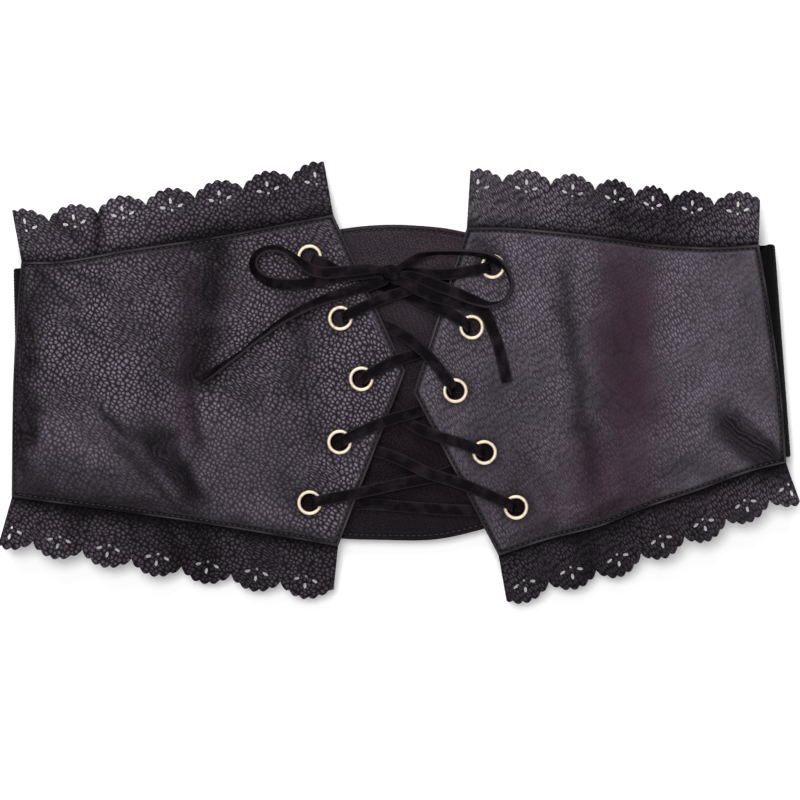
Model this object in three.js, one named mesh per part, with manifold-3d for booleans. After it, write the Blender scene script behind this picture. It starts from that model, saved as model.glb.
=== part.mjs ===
// A corset belt lying on its back: two front panels of black grained leather are laced together over a tongue,
// pierced scalloped trims line their long edges, and a wide elastic band closes the belt behind.
// Millimetres, +Z up. X runs along the belt, Y towards its top edge, and it lies on the plane z = 0.
import * as THREE from 'three';
import { mergeVertices } from 'three/addons/utils/BufferGeometryUtils.js';
import Module from 'manifold-3d';

const wasm = await Module();
wasm.setup();

// Overall sizes
const sideReach = 175; // from the middle of the belt to the fold at each side
const frontHeight = 150; // a front panel along its lacing edge
const clearance = 0.3; // between pieces that touch

// Leather, elastic and the space between front and back
const panelLeather = 2.2; // two layers, folded at the edges
const trimLeather = 1.5;
const tongueLeather = 1.5;
const elasticThickness = 1.4;
const hollowHeight = 7.3; // between the elastic and the tongue
const laceRoom = 2.8; // between the tongue and the panels

// The elastic's folded sides
const foldHeight = 19; // outer height of the fold
const sewnLength = 16; // under the panel, from the top of the fold
const edgeDip = 3.2; // how far the panel bends down over the fold

// Trims
const trimHeight = 26; // from the panel's edge to a scallop's peak
const trimTuck = 2.4; // under the panel
const trimGap = 0.4; // from the panel's underside
const scallopPitch = 22;
const scallopDepth = 5.1;
const lobeDepth = 1.3;
const lobes = 5; // on each scallop
const shortestCell = 2; // a cut end leaves no narrower piece of a scallop
const petalLength = 2.6;
const petalWidth = 1.3;
const petalRing = 4.3; // from the flower's centre to a petal's
const flowerInset = 10.4; // from the scallop's peak to the flower's centre
const flowerEye = 1.2; // the hole in its centre
const ruffleDepth = 1.1;
const trimDroop = 1.5; // at a scallop's peak
const creaseDepth = 1.3; // of the folds in the panels

// Eyelets
const eyeletBore = 8.2;
const eyeletWall = 0.35;
const eyeletRing = 11.2; // across the ring on the front
const eyeletBackRing = 10.6;
const eyeletRise = 0.7; // of each ring from the leather

// Lace
const laceWidth = 5.2;
const laceThickness = 1.2;
const knotSize = [8.4, 7.6, 6.4];

// Derived heights
const foldRadius = foldHeight / 2;
const middleUnderside = elasticThickness + hollowHeight + tongueLeather + laceRoom;
const sideUnderside = foldHeight + clearance;

// Corners of the front panels, of the tongue and of the elastic's folds:
// x as a share of sideReach, y as a share of frontHeight.
// outerEdge, topSeam and bottomSeam give the share of the way from one corner to the next along each edge.
const shapes = {
  left: {
    side: -1,
    outerTop: [0.970, 0.361], outerBottom: [0.997, -0.343],
    frontTop: [0.170, 0.505], tip: [-0.018, 0.035], frontBottom: [0.157, -0.493],
    outerEdge: [[0, 0], [0.45, 0.15], [0.75, 0.5], [1, 1]],
    topSeam: [[0, 0], [0.13, 0.02], [0.32, 0.23], [0.64, 0.56], [1, 1]],
    bottomSeam: [[0, 0], [0.13, 0.12], [0.32, 0.28], [0.64, 0.6], [1, 1]],
    foldTop: [0.996, 0.343], foldBottom: [0.983, -0.325], sewnTop: 0.343, sewnBottom: -0.325,
    creases: [{ at: 0.515, halfWidth: 0.065, depth: -1 }, { at: 0.64, halfWidth: 0.075, depth: 0.6 }],
    eyelets: [[0.230, -0.361], [0.153, -0.179], [0.097, 0.011], [0.151, 0.193], [0.230, 0.377]],
  },
  right: {
    side: 1,
    outerTop: [0.924, 0.413], outerBottom: [0.995, -0.241],
    frontTop: [0.175, 0.463], tip: [0.036, -0.031], frontBottom: [0.257, -0.521],
    outerEdge: [[0, 0], [0.32, 0.18], [0.72, 0.62], [1, 1]],
    topSeam: [[0, 0], [0.13, -0.16], [0.24, -0.12], [0.37, 0.05], [0.52, 0.45], [0.7, 0.83], [0.86, 1.05], [1, 1.05]],
    bottomSeam: [[0, 0], [0.13, 0.1], [0.3, 0.29], [0.51, 0.51], [0.65, 0.69], [0.83, 0.83], [1, 1]],
    foldTop: [0.971, 0.415], foldBottom: [1.012, -0.224], sewnTop: 0.384, sewnBottom: -0.223,
    creases: [{ at: 0.48, halfWidth: 0.07, depth: -0.8 }, { at: 0.61, halfWidth: 0.08, depth: 0.6 }],
    eyelets: [[0.301, -0.375], [0.220, -0.210], [0.145, -0.025], [0.187, 0.166], [0.241, 0.348]],
  },
};
const flatShare = 0.345; // of sideReach, where the front starts to rise towards the sides
const fullShare = 0.8; // of sideReach, where it is at its full height

// Trims. height: shares of trimHeight at the outer end, the middle and the front end.
// lean: degrees that the two ends lean towards the belt's side. pitches: shares of scallopPitch, drawn in where
// the trim is gathered. cut: the share of the first scallop that the outer end leaves off.
const trims = [
  {
    name: 'trim_top_left', panel: 'left', edge: 'topSeam', height: [0.95, 0.97, 0.98], lean: [11, 9.8],
    pitches: [1, 1, 1, 1, 1, 1, 1], cut: 0.28,
  },
  {
    name: 'trim_top_right', panel: 'right', edge: 'topSeam', height: [0.95, 1.04, 1.04], lean: [2, 3.5],
    pitches: [0.98, 0.89, 0.74, 0.82, 0.92, 1, 1], cut: 0.04,
  },
  {
    name: 'trim_bottom_left', panel: 'left', edge: 'bottomSeam', height: [0.93, 1.04, 1], lean: [16.5, 6],
    pitches: [1, 1, 1, 1, 1, 1, 1], cut: 0.32,
  },
  {
    name: 'trim_bottom_right', panel: 'right', edge: 'bottomSeam', height: [0.77, 0.95, 0.95], lean: [20, 10],
    pitches: [0.95, 0.94, 0.9, 0.92, 0.955, 0.98, 0.98], cut: 0.39,
  },
];

// Number helpers
const mix = (a, b, share) => a + (b - a) * share;
const smooth = (q) => {
  const s = Math.min(1, Math.max(0, q));
  return s * s * (3 - 2 * s);
};

// A smooth curve through a table of [position, value] rows.
function follow(table, q) {
  const last = table.length - 1;
  let i = 0;
  while (i < last - 1 && q > table[i + 1][0]) i++;
  const slope = (k) => {
    const a = table[Math.max(0, k - 1)];
    const b = table[Math.min(last, k + 1)];
    return (b[1] - a[1]) / (b[0] - a[0]);
  };
  const [x0, y0] = table[i];
  const [x1, y1] = table[i + 1];
  const h = x1 - x0;
  const s = (q - x0) / h;
  return y0 * (1 + 2 * s) * (1 - s) ** 2 + slope(i) * h * s * (1 - s) ** 2
    + y1 * s * s * (3 - 2 * s) + slope(i + 1) * h * s * s * (s - 1);
}

const place = (shape, corner) => [shape.side * corner[0] * sideReach, corner[1] * frontHeight];

// Where the elastic's fold stands at height y, on one side.
function foldX(shape, y) {
  const [topX, topY] = place(shape, shape.foldTop);
  const [bottomX, bottomY] = place(shape, shape.foldBottom);
  return mix(bottomX, topX, (y - bottomY) / (topY - bottomY));
}

// The height of the front's underside: low in the middle, high at the sides, bent down over the folds.
function underside(x, y) {
  const shape = x < 0 ? shapes.left : shapes.right;
  const share = Math.abs(x) / sideReach;
  let z = mix(middleUnderside, sideUnderside, smooth((share - flatShare) / (fullShare - flatShare)));
  const past = Math.max(0, foldRadius - (Math.abs(foldX(shape, y)) - Math.abs(x)));
  z -= edgeDip * (past / foldRadius) ** 2;
  for (const crease of shape.creases) {
    const q = (share - crease.at) / crease.halfWidth;
    if (Math.abs(q) < 1) z += crease.depth * creaseDepth * Math.cos(Math.PI * q / 2) ** 2;
  }
  return z;
}

// Mesh helpers
function geometryOf(points, faces) {
  const geometry = new THREE.BufferGeometry();
  geometry.setAttribute('position', new THREE.Float32BufferAttribute(points.flat(), 3));
  geometry.setIndex(faces.flat());
  return outward(mergeVertices(geometry, 1e-4));
}

// Turns a closed mesh's faces outwards.
function outward(geometry) {
  const index = geometry.index.array;
  const at = geometry.attributes.position;
  const [a, b, c] = [new THREE.Vector3(), new THREE.Vector3(), new THREE.Vector3()];
  let volume = 0;
  for (let i = 0; i < index.length; i += 3) {
    a.fromBufferAttribute(at, index[i]);
    b.fromBufferAttribute(at, index[i + 1]);
    c.fromBufferAttribute(at, index[i + 2]);
    volume += a.dot(b.cross(c));
  }
  if (volume < 0) {
    for (let i = 0; i < index.length; i += 3) [index[i], index[i + 1]] = [index[i + 1], index[i]];
  }
  return geometry;
}

// A closed sheet between two grids of points, rows of the same length.
function sheet(upper, lower) {
  const rows = upper.length;
  const columns = upper[0].length;
  const points = [...upper.flat(), ...lower.flat()];
  const at = (i, j, under) => under * rows * columns + i * columns + j;
  const faces = [];
  const quad = (a, b, c, d) => faces.push([a, b, c], [a, c, d]);
  for (let i = 0; i < rows - 1; i++) {
    for (let j = 0; j < columns - 1; j++) {
      quad(at(i, j, 0), at(i + 1, j, 0), at(i + 1, j + 1, 0), at(i, j + 1, 0));
      quad(at(i, j, 1), at(i, j + 1, 1), at(i + 1, j + 1, 1), at(i + 1, j, 1));
    }
  }
  for (let i = 0; i < rows - 1; i++) {
    quad(at(i, 0, 0), at(i, 0, 1), at(i + 1, 0, 1), at(i + 1, 0, 0));
    quad(at(i, columns - 1, 0), at(i + 1, columns - 1, 0), at(i + 1, columns - 1, 1), at(i, columns - 1, 1));
  }
  for (let j = 0; j < columns - 1; j++) {
    quad(at(0, j, 0), at(0, j + 1, 0), at(0, j + 1, 1), at(0, j, 1));
    quad(at(rows - 1, j, 0), at(rows - 1, j, 1), at(rows - 1, j + 1, 1), at(rows - 1, j + 1, 0));
  }
  return geometryOf(points, faces);
}

function toManifold(geometry) {
  const bare = geometry.clone();
  bare.deleteAttribute('normal');
  bare.deleteAttribute('uv');
  const merged = outward(mergeVertices(bare, 1e-4));
  return new wasm.Manifold(new wasm.Mesh({
    numProp: 3,
    vertProperties: Float32Array.from(merged.attributes.position.array),
    triVerts: Uint32Array.from(merged.index.array),
  }));
}

function fromManifold(solid) {
  const mesh = solid.getMesh();
  const geometry = new THREE.BufferGeometry();
  geometry.setAttribute('position', new THREE.BufferAttribute(mesh.vertProperties, 3));
  geometry.setIndex(new THREE.BufferAttribute(mesh.triVerts, 1));
  return geometry;
}

// Front panels

// A point on a panel's long edge, at a share of the way from the belt's side to its front.
function seamPoint(shape, edge, share) {
  const outer = place(shape, edge === 'topSeam' ? shape.outerTop : shape.outerBottom);
  const front = place(shape, edge === 'topSeam' ? shape.frontTop : shape.frontBottom);
  return [mix(outer[0], front[0], share), mix(outer[1], front[1], follow(shape[edge], share))];
}

// A panel point: along runs from the belt's side to the lacing edge, up from the bottom seam to the top one.
function panelPoint(shape, along, up) {
  const [frontBottom, tip, frontTop] = [shape.frontBottom, shape.tip, shape.frontTop].map((c) => place(shape, c));
  const tipUp = (tip[1] - frontBottom[1]) / (frontTop[1] - frontBottom[1]);
  const frontX = up < tipUp
    ? mix(frontBottom[0], tip[0], up / tipUp)
    : mix(tip[0], frontTop[0], (up - tipUp) / (1 - tipUp));
  const outerX = mix(place(shape, shape.outerBottom)[0], place(shape, shape.outerTop)[0], follow(shape.outerEdge, up));
  const y = mix(seamPoint(shape, 'bottomSeam', along)[1], seamPoint(shape, 'topSeam', along)[1], up);
  return [mix(outerX, frontX, along), y];
}

function panelGeometry(shape) {
  const sideShares = [0, 0.02, 0.042, 0.07, 0.105]; // closer together where the panel bends over the fold
  const evenColumns = 12;
  const rowsEachSide = 4;
  const tipUp = (shape.tip[1] - shape.frontBottom[1]) / (shape.frontTop[1] - shape.frontBottom[1]);
  const ups = [];
  for (let i = 0; i <= rowsEachSide; i++) ups.push(tipUp * i / rowsEachSide);
  for (let i = 1; i <= rowsEachSide; i++) ups.push(mix(tipUp, 1, i / rowsEachSide));
  const alongs = [...sideShares];
  for (let i = 1; i <= evenColumns; i++) alongs.push(mix(sideShares[sideShares.length - 1], 1, i / evenColumns));
  const grid = (lift) => ups.map((up) => alongs.map((along) => {
    const [x, y] = panelPoint(shape, along, up);
    return [x, y, underside(x, y) + lift];
  }));
  let solid = toManifold(sheet(grid(panelLeather), grid(0)));
  const holeRadius = eyeletBore / 2 + eyeletWall + clearance;
  for (const corner of shape.eyelets) {
    const [x, y] = place(shape, corner);
    const punch = new THREE.CylinderGeometry(holeRadius, holeRadius, panelLeather * 4, 12);
    punch.rotateX(Math.PI / 2);
    punch.translate(x, y, underside(x, y));
    solid = solid.subtract(toManifold(punch));
  }
  return fromManifold(solid);
}

// Trims

// A trim's own measure: lengths along its seam, the way outwards there, and its height.
function trimMeasure(trim) {
  const shape = shapes[trim.panel];
  const outwardY = trim.edge === 'topSeam' ? 1 : -1;
  const samples = 120;
  const line = Array.from({ length: samples + 1 }, (_, i) => seamPoint(shape, trim.edge, i / samples));
  const lengths = [0];
  for (let i = 1; i <= samples; i++) {
    lengths.push(lengths[i - 1] + Math.hypot(line[i][0] - line[i - 1][0], line[i][1] - line[i - 1][1]));
  }
  const whole = lengths[samples];
  const seamAt = (a) => {
    let i = 1;
    while (i < samples && lengths[i] < a) i++;
    const share = (a - lengths[i - 1]) / (lengths[i] - lengths[i - 1]);
    return [mix(line[i - 1][0], line[i][0], share), mix(line[i - 1][1], line[i][1], share)];
  };
  const heightTable = [[0, trim.height[0]], [0.5, trim.height[1]], [1, trim.height[2]]];
  const peakHeight = (a) => trimHeight * follow(heightTable, a / whole);
  // A point out from the seam, on the trim's upper or lower face.
  const point = (a, out, drop) => {
    const [bx, by] = seamAt(a);
    const lean = THREE.MathUtils.degToRad(mix(trim.lean[0], trim.lean[1], a / whole));
    const x = bx + shape.side * Math.sin(lean) * out;
    const y = by + outwardY * Math.cos(lean) * out;
    const free = Math.max(0, out) / trimHeight;
    const ruffle = ruffleDepth * Math.sin(2 * Math.PI * a / (2.3 * scallopPitch) + shape.side) * free;
    const base = out > 0 ? underside(bx, by) : underside(x, y);
    return [x, y, base - trimGap - drop + ruffle - trimDroop * free];
  };
  return { whole, peakHeight, point };
}

// The trim's edge within one scallop, as the drop from its peak: an arch with round lobes.
function scallopDrop(q) {
  const arch = (2 * q - 1) ** 2;
  return scallopDepth * arch + lobeDepth * (1 - Math.abs(Math.sin(lobes * Math.PI * q)));
}

// Where each scallop starts along the seam, and its pitch there.
function scallopsOf(trim, whole) {
  const scallops = [];
  let start = -trim.cut * trim.pitches[0] * scallopPitch;
  for (let i = 0; start < whole - shortestCell; i++) {
    const pitch = trim.pitches[Math.min(i, trim.pitches.length - 1)] * scallopPitch;
    scallops.push({ start, pitch });
    start += pitch;
  }
  return scallops;
}

function petal(along, out, turn, length, width, corners) {
  return Array.from({ length: corners }, (_, i) => {
    const angle = 2 * Math.PI * i / corners;
    const [u, v] = [Math.cos(angle) * length / 2, Math.sin(angle) * width / 2];
    return new THREE.Vector2(
      along + u * Math.cos(turn) - v * Math.sin(turn),
      out + u * Math.sin(turn) + v * Math.cos(turn),
    );
  });
}

// The holes of the flower whose centre is given: a tip petal, two side petals and the eye, drawn in with the gathers.
function flowerHoles(along, out, gather, whole) {
  const petals = [90, 22, 158].map((degrees) => {
    const turn = THREE.MathUtils.degToRad(degrees);
    return petal(
      along + petalRing * gather * Math.cos(turn), out + petalRing * Math.sin(turn),
      turn, petalLength, petalWidth, 6,
    );
  });
  const margin = petalWidth / 2;
  const inside = (hole) => hole.every((p) => p.x > margin && p.x < whole - margin);
  return [...petals, petal(along, out, 0, flowerEye, flowerEye, 4)].filter(inside);
}

function trimGeometry(trim) {
  const { whole, peakHeight, point } = trimMeasure(trim);
  const lobeSteps = 3;
  const baseSteps = 3;
  const bendOut = 1; // the first row outside the panel's edge
  const shortestStep = 0.2;
  const points = [];
  const faces = [];
  const add = (a, out) => {
    points.push(point(a, out, 0), point(a, out, trimLeather));
    return points.length / 2 - 1; // the pair's number: 2n is its upper point, 2n + 1 the lower
  };
  const both = (a, b, c) => faces.push([2 * a, 2 * b, 2 * c], [2 * a + 1, 2 * c + 1, 2 * b + 1]);
  const wall = (a, b) => faces.push([2 * a, 2 * a + 1, 2 * b + 1], [2 * a, 2 * b + 1, 2 * b]);

  for (const { start, pitch } of scallopsOf(trim, whole)) {
    const from = Math.max(0, start);
    const to = whole - (start + pitch) < shortestCell ? whole : start + pitch;
    const middle = start + pitch / 2;
    const edgeOut = (a) => peakHeight(a) - scallopDrop(THREE.MathUtils.clamp((a - start) / pitch, 0, 1));
    const edge = [];
    const steps = lobes * lobeSteps;
    for (let i = 0; i <= steps; i++) {
      const a = start + pitch * i / steps;
      if (a > from + shortestStep && a < to - shortestStep) edge.push(a);
    }
    edge.unshift(from);
    edge.push(to);
    const base = Array.from({ length: baseSteps + 1 }, (_, i) => mix(from, to, i / baseSteps));
    const contour = [
      ...base.map((a) => new THREE.Vector2(a, bendOut)),
      ...edge.slice().reverse().map((a) => new THREE.Vector2(a, edgeOut(a))),
    ];
    const peak = THREE.MathUtils.clamp(middle, 0, whole);
    const holes = flowerHoles(middle, peakHeight(peak) - flowerInset, pitch / scallopPitch, whole);
    const loops = [contour, ...holes];
    const ids = loops.flat().map((p) => add(p.x, p.y));
    for (const [a, b, c] of THREE.ShapeUtils.triangulateShape(contour, holes)) both(ids[a], ids[b], ids[c]);
    // Walls along the lobed edge and round each hole, with the trim's material on their left.
    for (let i = baseSteps + 1; i < contour.length - 1; i++) wall(ids[i], ids[i + 1]);
    let offset = contour.length;
    for (const hole of holes) {
      const clockwise = THREE.ShapeUtils.isClockWise(hole);
      for (let i = 0; i < hole.length; i++) {
        const a = ids[offset + i];
        const b = ids[offset + (i + 1) % hole.length];
        if (clockwise) wall(a, b);
        else wall(b, a);
      }
      offset += hole.length;
    }
    // The strip that tucks under the panel
    const tucked = base.map((a) => add(a, -trimTuck));
    for (let i = 0; i < baseSteps; i++) {
      both(tucked[i], tucked[i + 1], ids[i + 1]);
      both(tucked[i], ids[i + 1], ids[i]);
      wall(tucked[i], tucked[i + 1]);
    }
    // The cut ends
    if (from === 0) {
      wall(ids[0], tucked[0]);
      wall(ids[contour.length - 1], ids[0]);
    }
    if (to === whole) {
      wall(tucked[baseSteps], ids[baseSteps]);
      wall(ids[baseSteps], ids[baseSteps + 1]);
    }
  }
  return geometryOf(points, faces);
}

// The elastic: a band from under one panel's outer end, round the fold, across the back and up the other side.
function elasticGeometry() {
  const { left, right } = shapes;
  const arcSteps = 8;
  // Stations from the left sewn end to the right one: side, distance in from the fold's centre, angle from the top.
  const half = (side) => {
    const stations = [{ side, run: sewnLength, turn: 0 }];
    for (let i = 0; i <= arcSteps; i++) stations.push({ side, run: 0, turn: Math.PI * i / arcSteps });
    return stations;
  };
  const stations = [...half(-1), { side: 0 }, ...half(1).reverse()];
  const rows = 2;
  const grid = (inset) => stations.map((s) => Array.from({ length: rows + 1 }, (_, j) => {
    const up = j / rows;
    const at = (shape) => {
      const grip = smooth((Math.sin(s.turn ?? Math.PI) + (s.turn > Math.PI / 2 ? 1 : 0)) / Math.SQRT1_2);
      const top = mix(shape.sewnTop, shape.foldTop[1], s.side ? grip : 1) * frontHeight;
      const bottom = mix(shape.sewnBottom, shape.foldBottom[1], s.side ? grip : 1) * frontHeight;
      return mix(bottom, top, up);
    };
    if (s.side === 0) return [0, (at(left) + at(right)) / 2, inset];
    const shape = s.side < 0 ? left : right;
    const y = at(shape);
    const radius = foldRadius - inset;
    const centre = foldX(shape, y) - s.side * foldRadius;
    const x = centre + s.side * (radius * Math.sin(s.turn) - s.run);
    return [x, y, foldRadius + radius * Math.cos(s.turn)];
  }));
  return sheet(grid(0), grid(elasticThickness));
}

// The tongue lies under the lacing, and rises to meet the left panel, which it is sewn to.
const tongueShape = {
  leftEnd: -0.354, sewnTo: -0.28, rightEnd: 0.337, // shares of sideReach
  top: [[-0.354, 0.4], [-0.2, 0.452], [-0.05, 0.475], [0.1, 0.468], [0.2, 0.446], [0.337, 0.41]],
  bottom: [[-0.354, -0.4], [-0.2, -0.462], [-0.02, -0.475], [0.1, -0.472], [0.22, -0.441], [0.337, -0.4]],
};

function tongueGeometry() {
  const columns = 9;
  const rows = 4;
  const { leftEnd, sewnTo, rightEnd, top, bottom } = tongueShape;
  const grid = (drop) => Array.from({ length: columns + 1 }, (_, i) => {
    const share = mix(leftEnd, rightEnd, i / columns);
    const x = share * sideReach;
    const seat = smooth((sewnTo - share) / (sewnTo - leftEnd) * 2);
    return Array.from({ length: rows + 1 }, (__, j) => {
      const y = mix(follow(bottom, share), follow(top, share), j / rows) * frontHeight;
      return [x, y, underside(x, y) - mix(laceRoom, clearance, seat) - drop];
    });
  });
  return sheet(grid(0), grid(tongueLeather));
}

// Eyelets: a tube through the panel with a domed ring in front and a flat one behind.
function eyeletGeometry() {
  const bore = eyeletBore / 2;
  const frontTop = clearance + eyeletRise;
  const back = -panelLeather - clearance;
  const profile = [
    [bore, back - eyeletRise],
    [bore, clearance + eyeletRise / 2],
    [(bore + eyeletRing / 2) / 2, frontTop],
    [eyeletRing / 2, clearance + eyeletRise / 4],
    [bore + eyeletWall, clearance],
    [bore + eyeletWall, back],
    [eyeletBackRing / 2, back],
    [eyeletBackRing / 2, back - eyeletRise],
  ];
  profile.push(profile[0]);
  const geometry = new THREE.LatheGeometry(profile.map(([r, z]) => new THREE.Vector2(r, z)), 10);
  geometry.rotateX(Math.PI / 2);
  geometry.deleteAttribute('normal');
  geometry.deleteAttribute('uv');
  return outward(mergeVertices(geometry, 1e-4));
}

function eyeletCentre(side, number) {
  return place(shapes[side], shapes[side].eyelets[number - 1]);
}

// Lace

// Heights of the lace's middle above the panels' upper face
const onPanel = clearance + laceThickness / 2;
const onRing = onPanel + eyeletRise + clearance;
const behind = -(panelLeather + 2 * clearance + eyeletRise + clearance / 3 + laceThickness / 2);

// The lace between the eyelets. Each crossing leaves the first eyelet in front and reaches the second from behind.
// Points are x, y and the height above the panels' upper face.
const crossings = [
  { from: ['right', 4], to: ['left', 5], points: [
    [24, 30.4, 0.9], [16.5, 33.6, 0.75], [12, 35.6, -0.6], [8, 37.4, -2], [1.4, 40.3, -3.1], [-8, 43.9, -4], [-18, 48, -4.1]] },
  { from: ['left', 3], to: ['right', 4], points: [
    [-1.8, 9.7, 0.9], [2.8, 11.2, 0.85], [7, 12.6, -1.4], [10.5, 13.8, -3.4], [18, 17.5, -4.1]] },
  { from: ['right', 2], to: ['left', 3], points: [
    [27, -27, 0.9], [19.6, -25, 0.9], [14.5, -23.2, 0.85], [10, -21.3, -0.7], [6.3, -19.4, -2], [2.5, -16, -2.7], [-1.5, -12, -3.3],
    [-8, -5.5, -4.1]] },
  { from: ['left', 1], to: ['right', 2], points: [
    [-22.1, -50.6, 0.9], [-14, -48.8, 0.85], [0, -45.8, -1.3], [13.9, -43, -2.8], [22, -40.6, -3.7], [29, -37.4, -4.1]] },
  { from: ['right', 1], to: ['left', 2], points: [
    [38, -49.6, 0.9], [29, -45.9, 0.9], [22, -43.6, 0.6], [13.5, -41, -0.3], [2.3, -35.6, -2.2], [-6, -32.3, -3.4], [-13, -30.3, -4.1]] },
  { from: ['left', 2], to: ['right', 3], points: [
    [-15.3, -21.4, 0.9], [-6, -17.4, 0.9], [-1.8, -16, 0.8], [3.5, -14.6, 0.1], [6.6, -13.8, -1.3], [9.6, -12.8, -3.1], [15, -10, -4.1]] },
  { from: ['right', 3], to: ['left', 4], points: [
    [16.5, 8, 0.9], [12.5, 12.6, 0.9], [8.5, 16.3, 0.6], [4, 20, -0.6], [-1, 23, -2.4], [-5.2, 25, -3.5], [-12, 27.2, -4.1]] },
  { from: ['left', 4], to: ['right', 5], points: [
    [-12, 35.7, 0.9], [-4, 39, 0.7], [2.5, 41, 0.1], [8, 43.2, -0.8], [14, 45.3, -2.4], [20, 47.2, -3.8], [30, 50, -4.1]] },
];
const bar = [[-24, -54.8, -4.1], [-8.8, -55.2, -4.1], [14, -57, -4.1], [34, -57.8, -4.1]];
const leftEnd = [[-24.3, 48.9, 0.9], [-16, 48.9, 1.1], [-8.1, 49.8, 1.4]];
const rightEnd = [[32, 50.2, 0.9], [24, 48.9, 0.9], [14, 48.7, 0.9], [5, 49.4, 1.2], [1.1, 49.8, 1.3]];

// The bow. Points are x, y, the height above the panels' upper face, the roll in degrees
// from flat to on edge, and the share of the lace's width, which is gathered at the knot.
const knotCentre = [-3.6, 49.3, 3];
const bowLoops = {
  bow_loop_left: [
    [-8.3, 50.8, 4.5, 0, 0.55], [-12.5, 51, 4.4, 0, 0.8], [-17.6, 50.7, 4.2, 0, 1], [-26.6, 49.7, 4.1, 0, 1],
    [-34.7, 49.3, 4.1, 8, 1], [-40.5, 51.2, 4.3, 25, 1], [-45.9, 55.1, 4.1, 48, 1], [-51.3, 58.9, 3.3, 60, 1],
    [-56.7, 60.3, 3, 60, 1], [-61.7, 59.2, 3, 56, 1], [-65, 56, 2.9, 50, 1], [-65.6, 52.4, 2.8, 48, 1],
    [-63.5, 48.8, 2.7, 44, 1], [-59, 45.7, 2.45, 34, 1], [-52.2, 44.3, 1.9, 20, 1], [-46, 44.2, 1.4, 8, 1],
    [-38.5, 45, 1.5, 0, 1], [-31.1, 46.6, 2.65, 0, 1], [-21, 48.3, 2.7, 0, 1], [-12.5, 49, 2.8, 0, 0.8],
    [-8.4, 49.2, 2.9, 0, 0.55],
  ],
  bow_loop_right: [
    [0.6, 52, 4.4, 10, 0.55], [4.4, 54.4, 4.1, 30, 0.8], [9.5, 57.2, 3.6, 55, 1], [15.3, 58.4, 3.2, 72, 1],
    [23.9, 58.6, 3.1, 74, 1], [32.9, 58.2, 3.4, 70, 1], [41, 56.2, 4.1, 56, 1], [46.4, 52.9, 4.1, 68, 1],
    [49.5, 48.4, 3.4, 84, 1], [50.6, 43.4, 3, 88, 1], [49.1, 38.9, 3.2, 88, 1], [45, 35.8, 4, 80, 1],
    [40.1, 35, 4.4, 65, 1], [33.8, 37, 4.2, 35, 1], [25.2, 40.5, 3.8, 15, 1], [16.7, 43.9, 3.5, 5, 1],
    [9.5, 46.8, 2.9, 0, 0.9], [4.8, 48.3, 3, 0, 0.7], [1.2, 48.8, 3.1, 0, 0.55],
  ],
};
const laceTails = {
  lace_tail_left: [
    [-6.3, 45.2, 2, 0, 0.55], [-9, 44.6, 1.2, 0, 0.7], [-12, 43.9, 0.95, 0, 0.9], [-18, 42.4, 0.9, 0, 1],
    [-24.3, 40.4, 1.4, 10, 1], [-34.7, 36.9, 2.45, 38, 1], [-49, 29.9, 2.9, 58, 1], [-61.7, 20.9, 3.05, 70, 1],
    [-71.6, 13, 3.05, 76, 1], [-81.5, 6.1, 2.85, 58, 1], [-88.2, 1.6, 2.25, 38, 0.85],
  ],
  lace_tail_right: [
    [-0.3, 45.6, 2, 0, 0.55], [2.8, 44.5, 1.9, 0, 0.7], [5.9, 43.2, 1.9, 0, 0.9], [10, 41.1, 2, 0, 1],
    [15, 38.9, 2.3, 0, 1], [20, 37.6, 2.4, 0, 1], [26, 35.9, 1.9, 0, 1], [34, 33.9, 1.7, 0, 1],
    [38.8, 31, 1.5, 0, 1], [42.2, 23.6, 0.9, 0, 1], [45.5, 13.7, 0.9, 0, 1], [48.6, 0.2, 0.9, 0, 1],
  ],
};

const above = (x, y, lift) => new THREE.Vector3(x, y, underside(x, y) + panelLeather + lift);

// A flat lace swept along its stations: a point, the way across it, and a share of its width.
function ribbon(stations) {
  const [w, t, chamfer] = [laceWidth / 2, laceThickness / 2, laceThickness / 4];
  const section = [
    [-w, -t + chamfer], [-w + chamfer, -t], [w - chamfer, -t], [w, -t + chamfer],
    [w, t - chamfer], [w - chamfer, t], [-w + chamfer, t], [-w, t - chamfer],
  ];
  const points = [];
  stations.forEach(({ at, across, width }, i) => {
    const before = stations[Math.max(0, i - 1)].at;
    const after = stations[Math.min(stations.length - 1, i + 1)].at;
    const along = after.clone().sub(before).normalize();
    const sideways = across.clone().addScaledVector(along, -across.dot(along)).normalize();
    const up = along.clone().cross(sideways);
    for (const [u, v] of section) {
      points.push(at.clone().addScaledVector(sideways, u * width).addScaledVector(up, v).toArray());
    }
  });
  const faces = [];
  const n = section.length;
  for (let i = 0; i < stations.length - 1; i++) {
    for (let j = 0; j < n; j++) {
      const [a, b] = [i * n + j, i * n + (j + 1) % n];
      faces.push([a, b, b + n], [a, b + n, a + n]);
    }
  }
  const last = (stations.length - 1) * n;
  for (let j = 1; j < n - 1; j++) faces.push([0, j + 1, j], [last, last + j, last + j + 1]);
  return geometryOf(points, faces);
}

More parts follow.
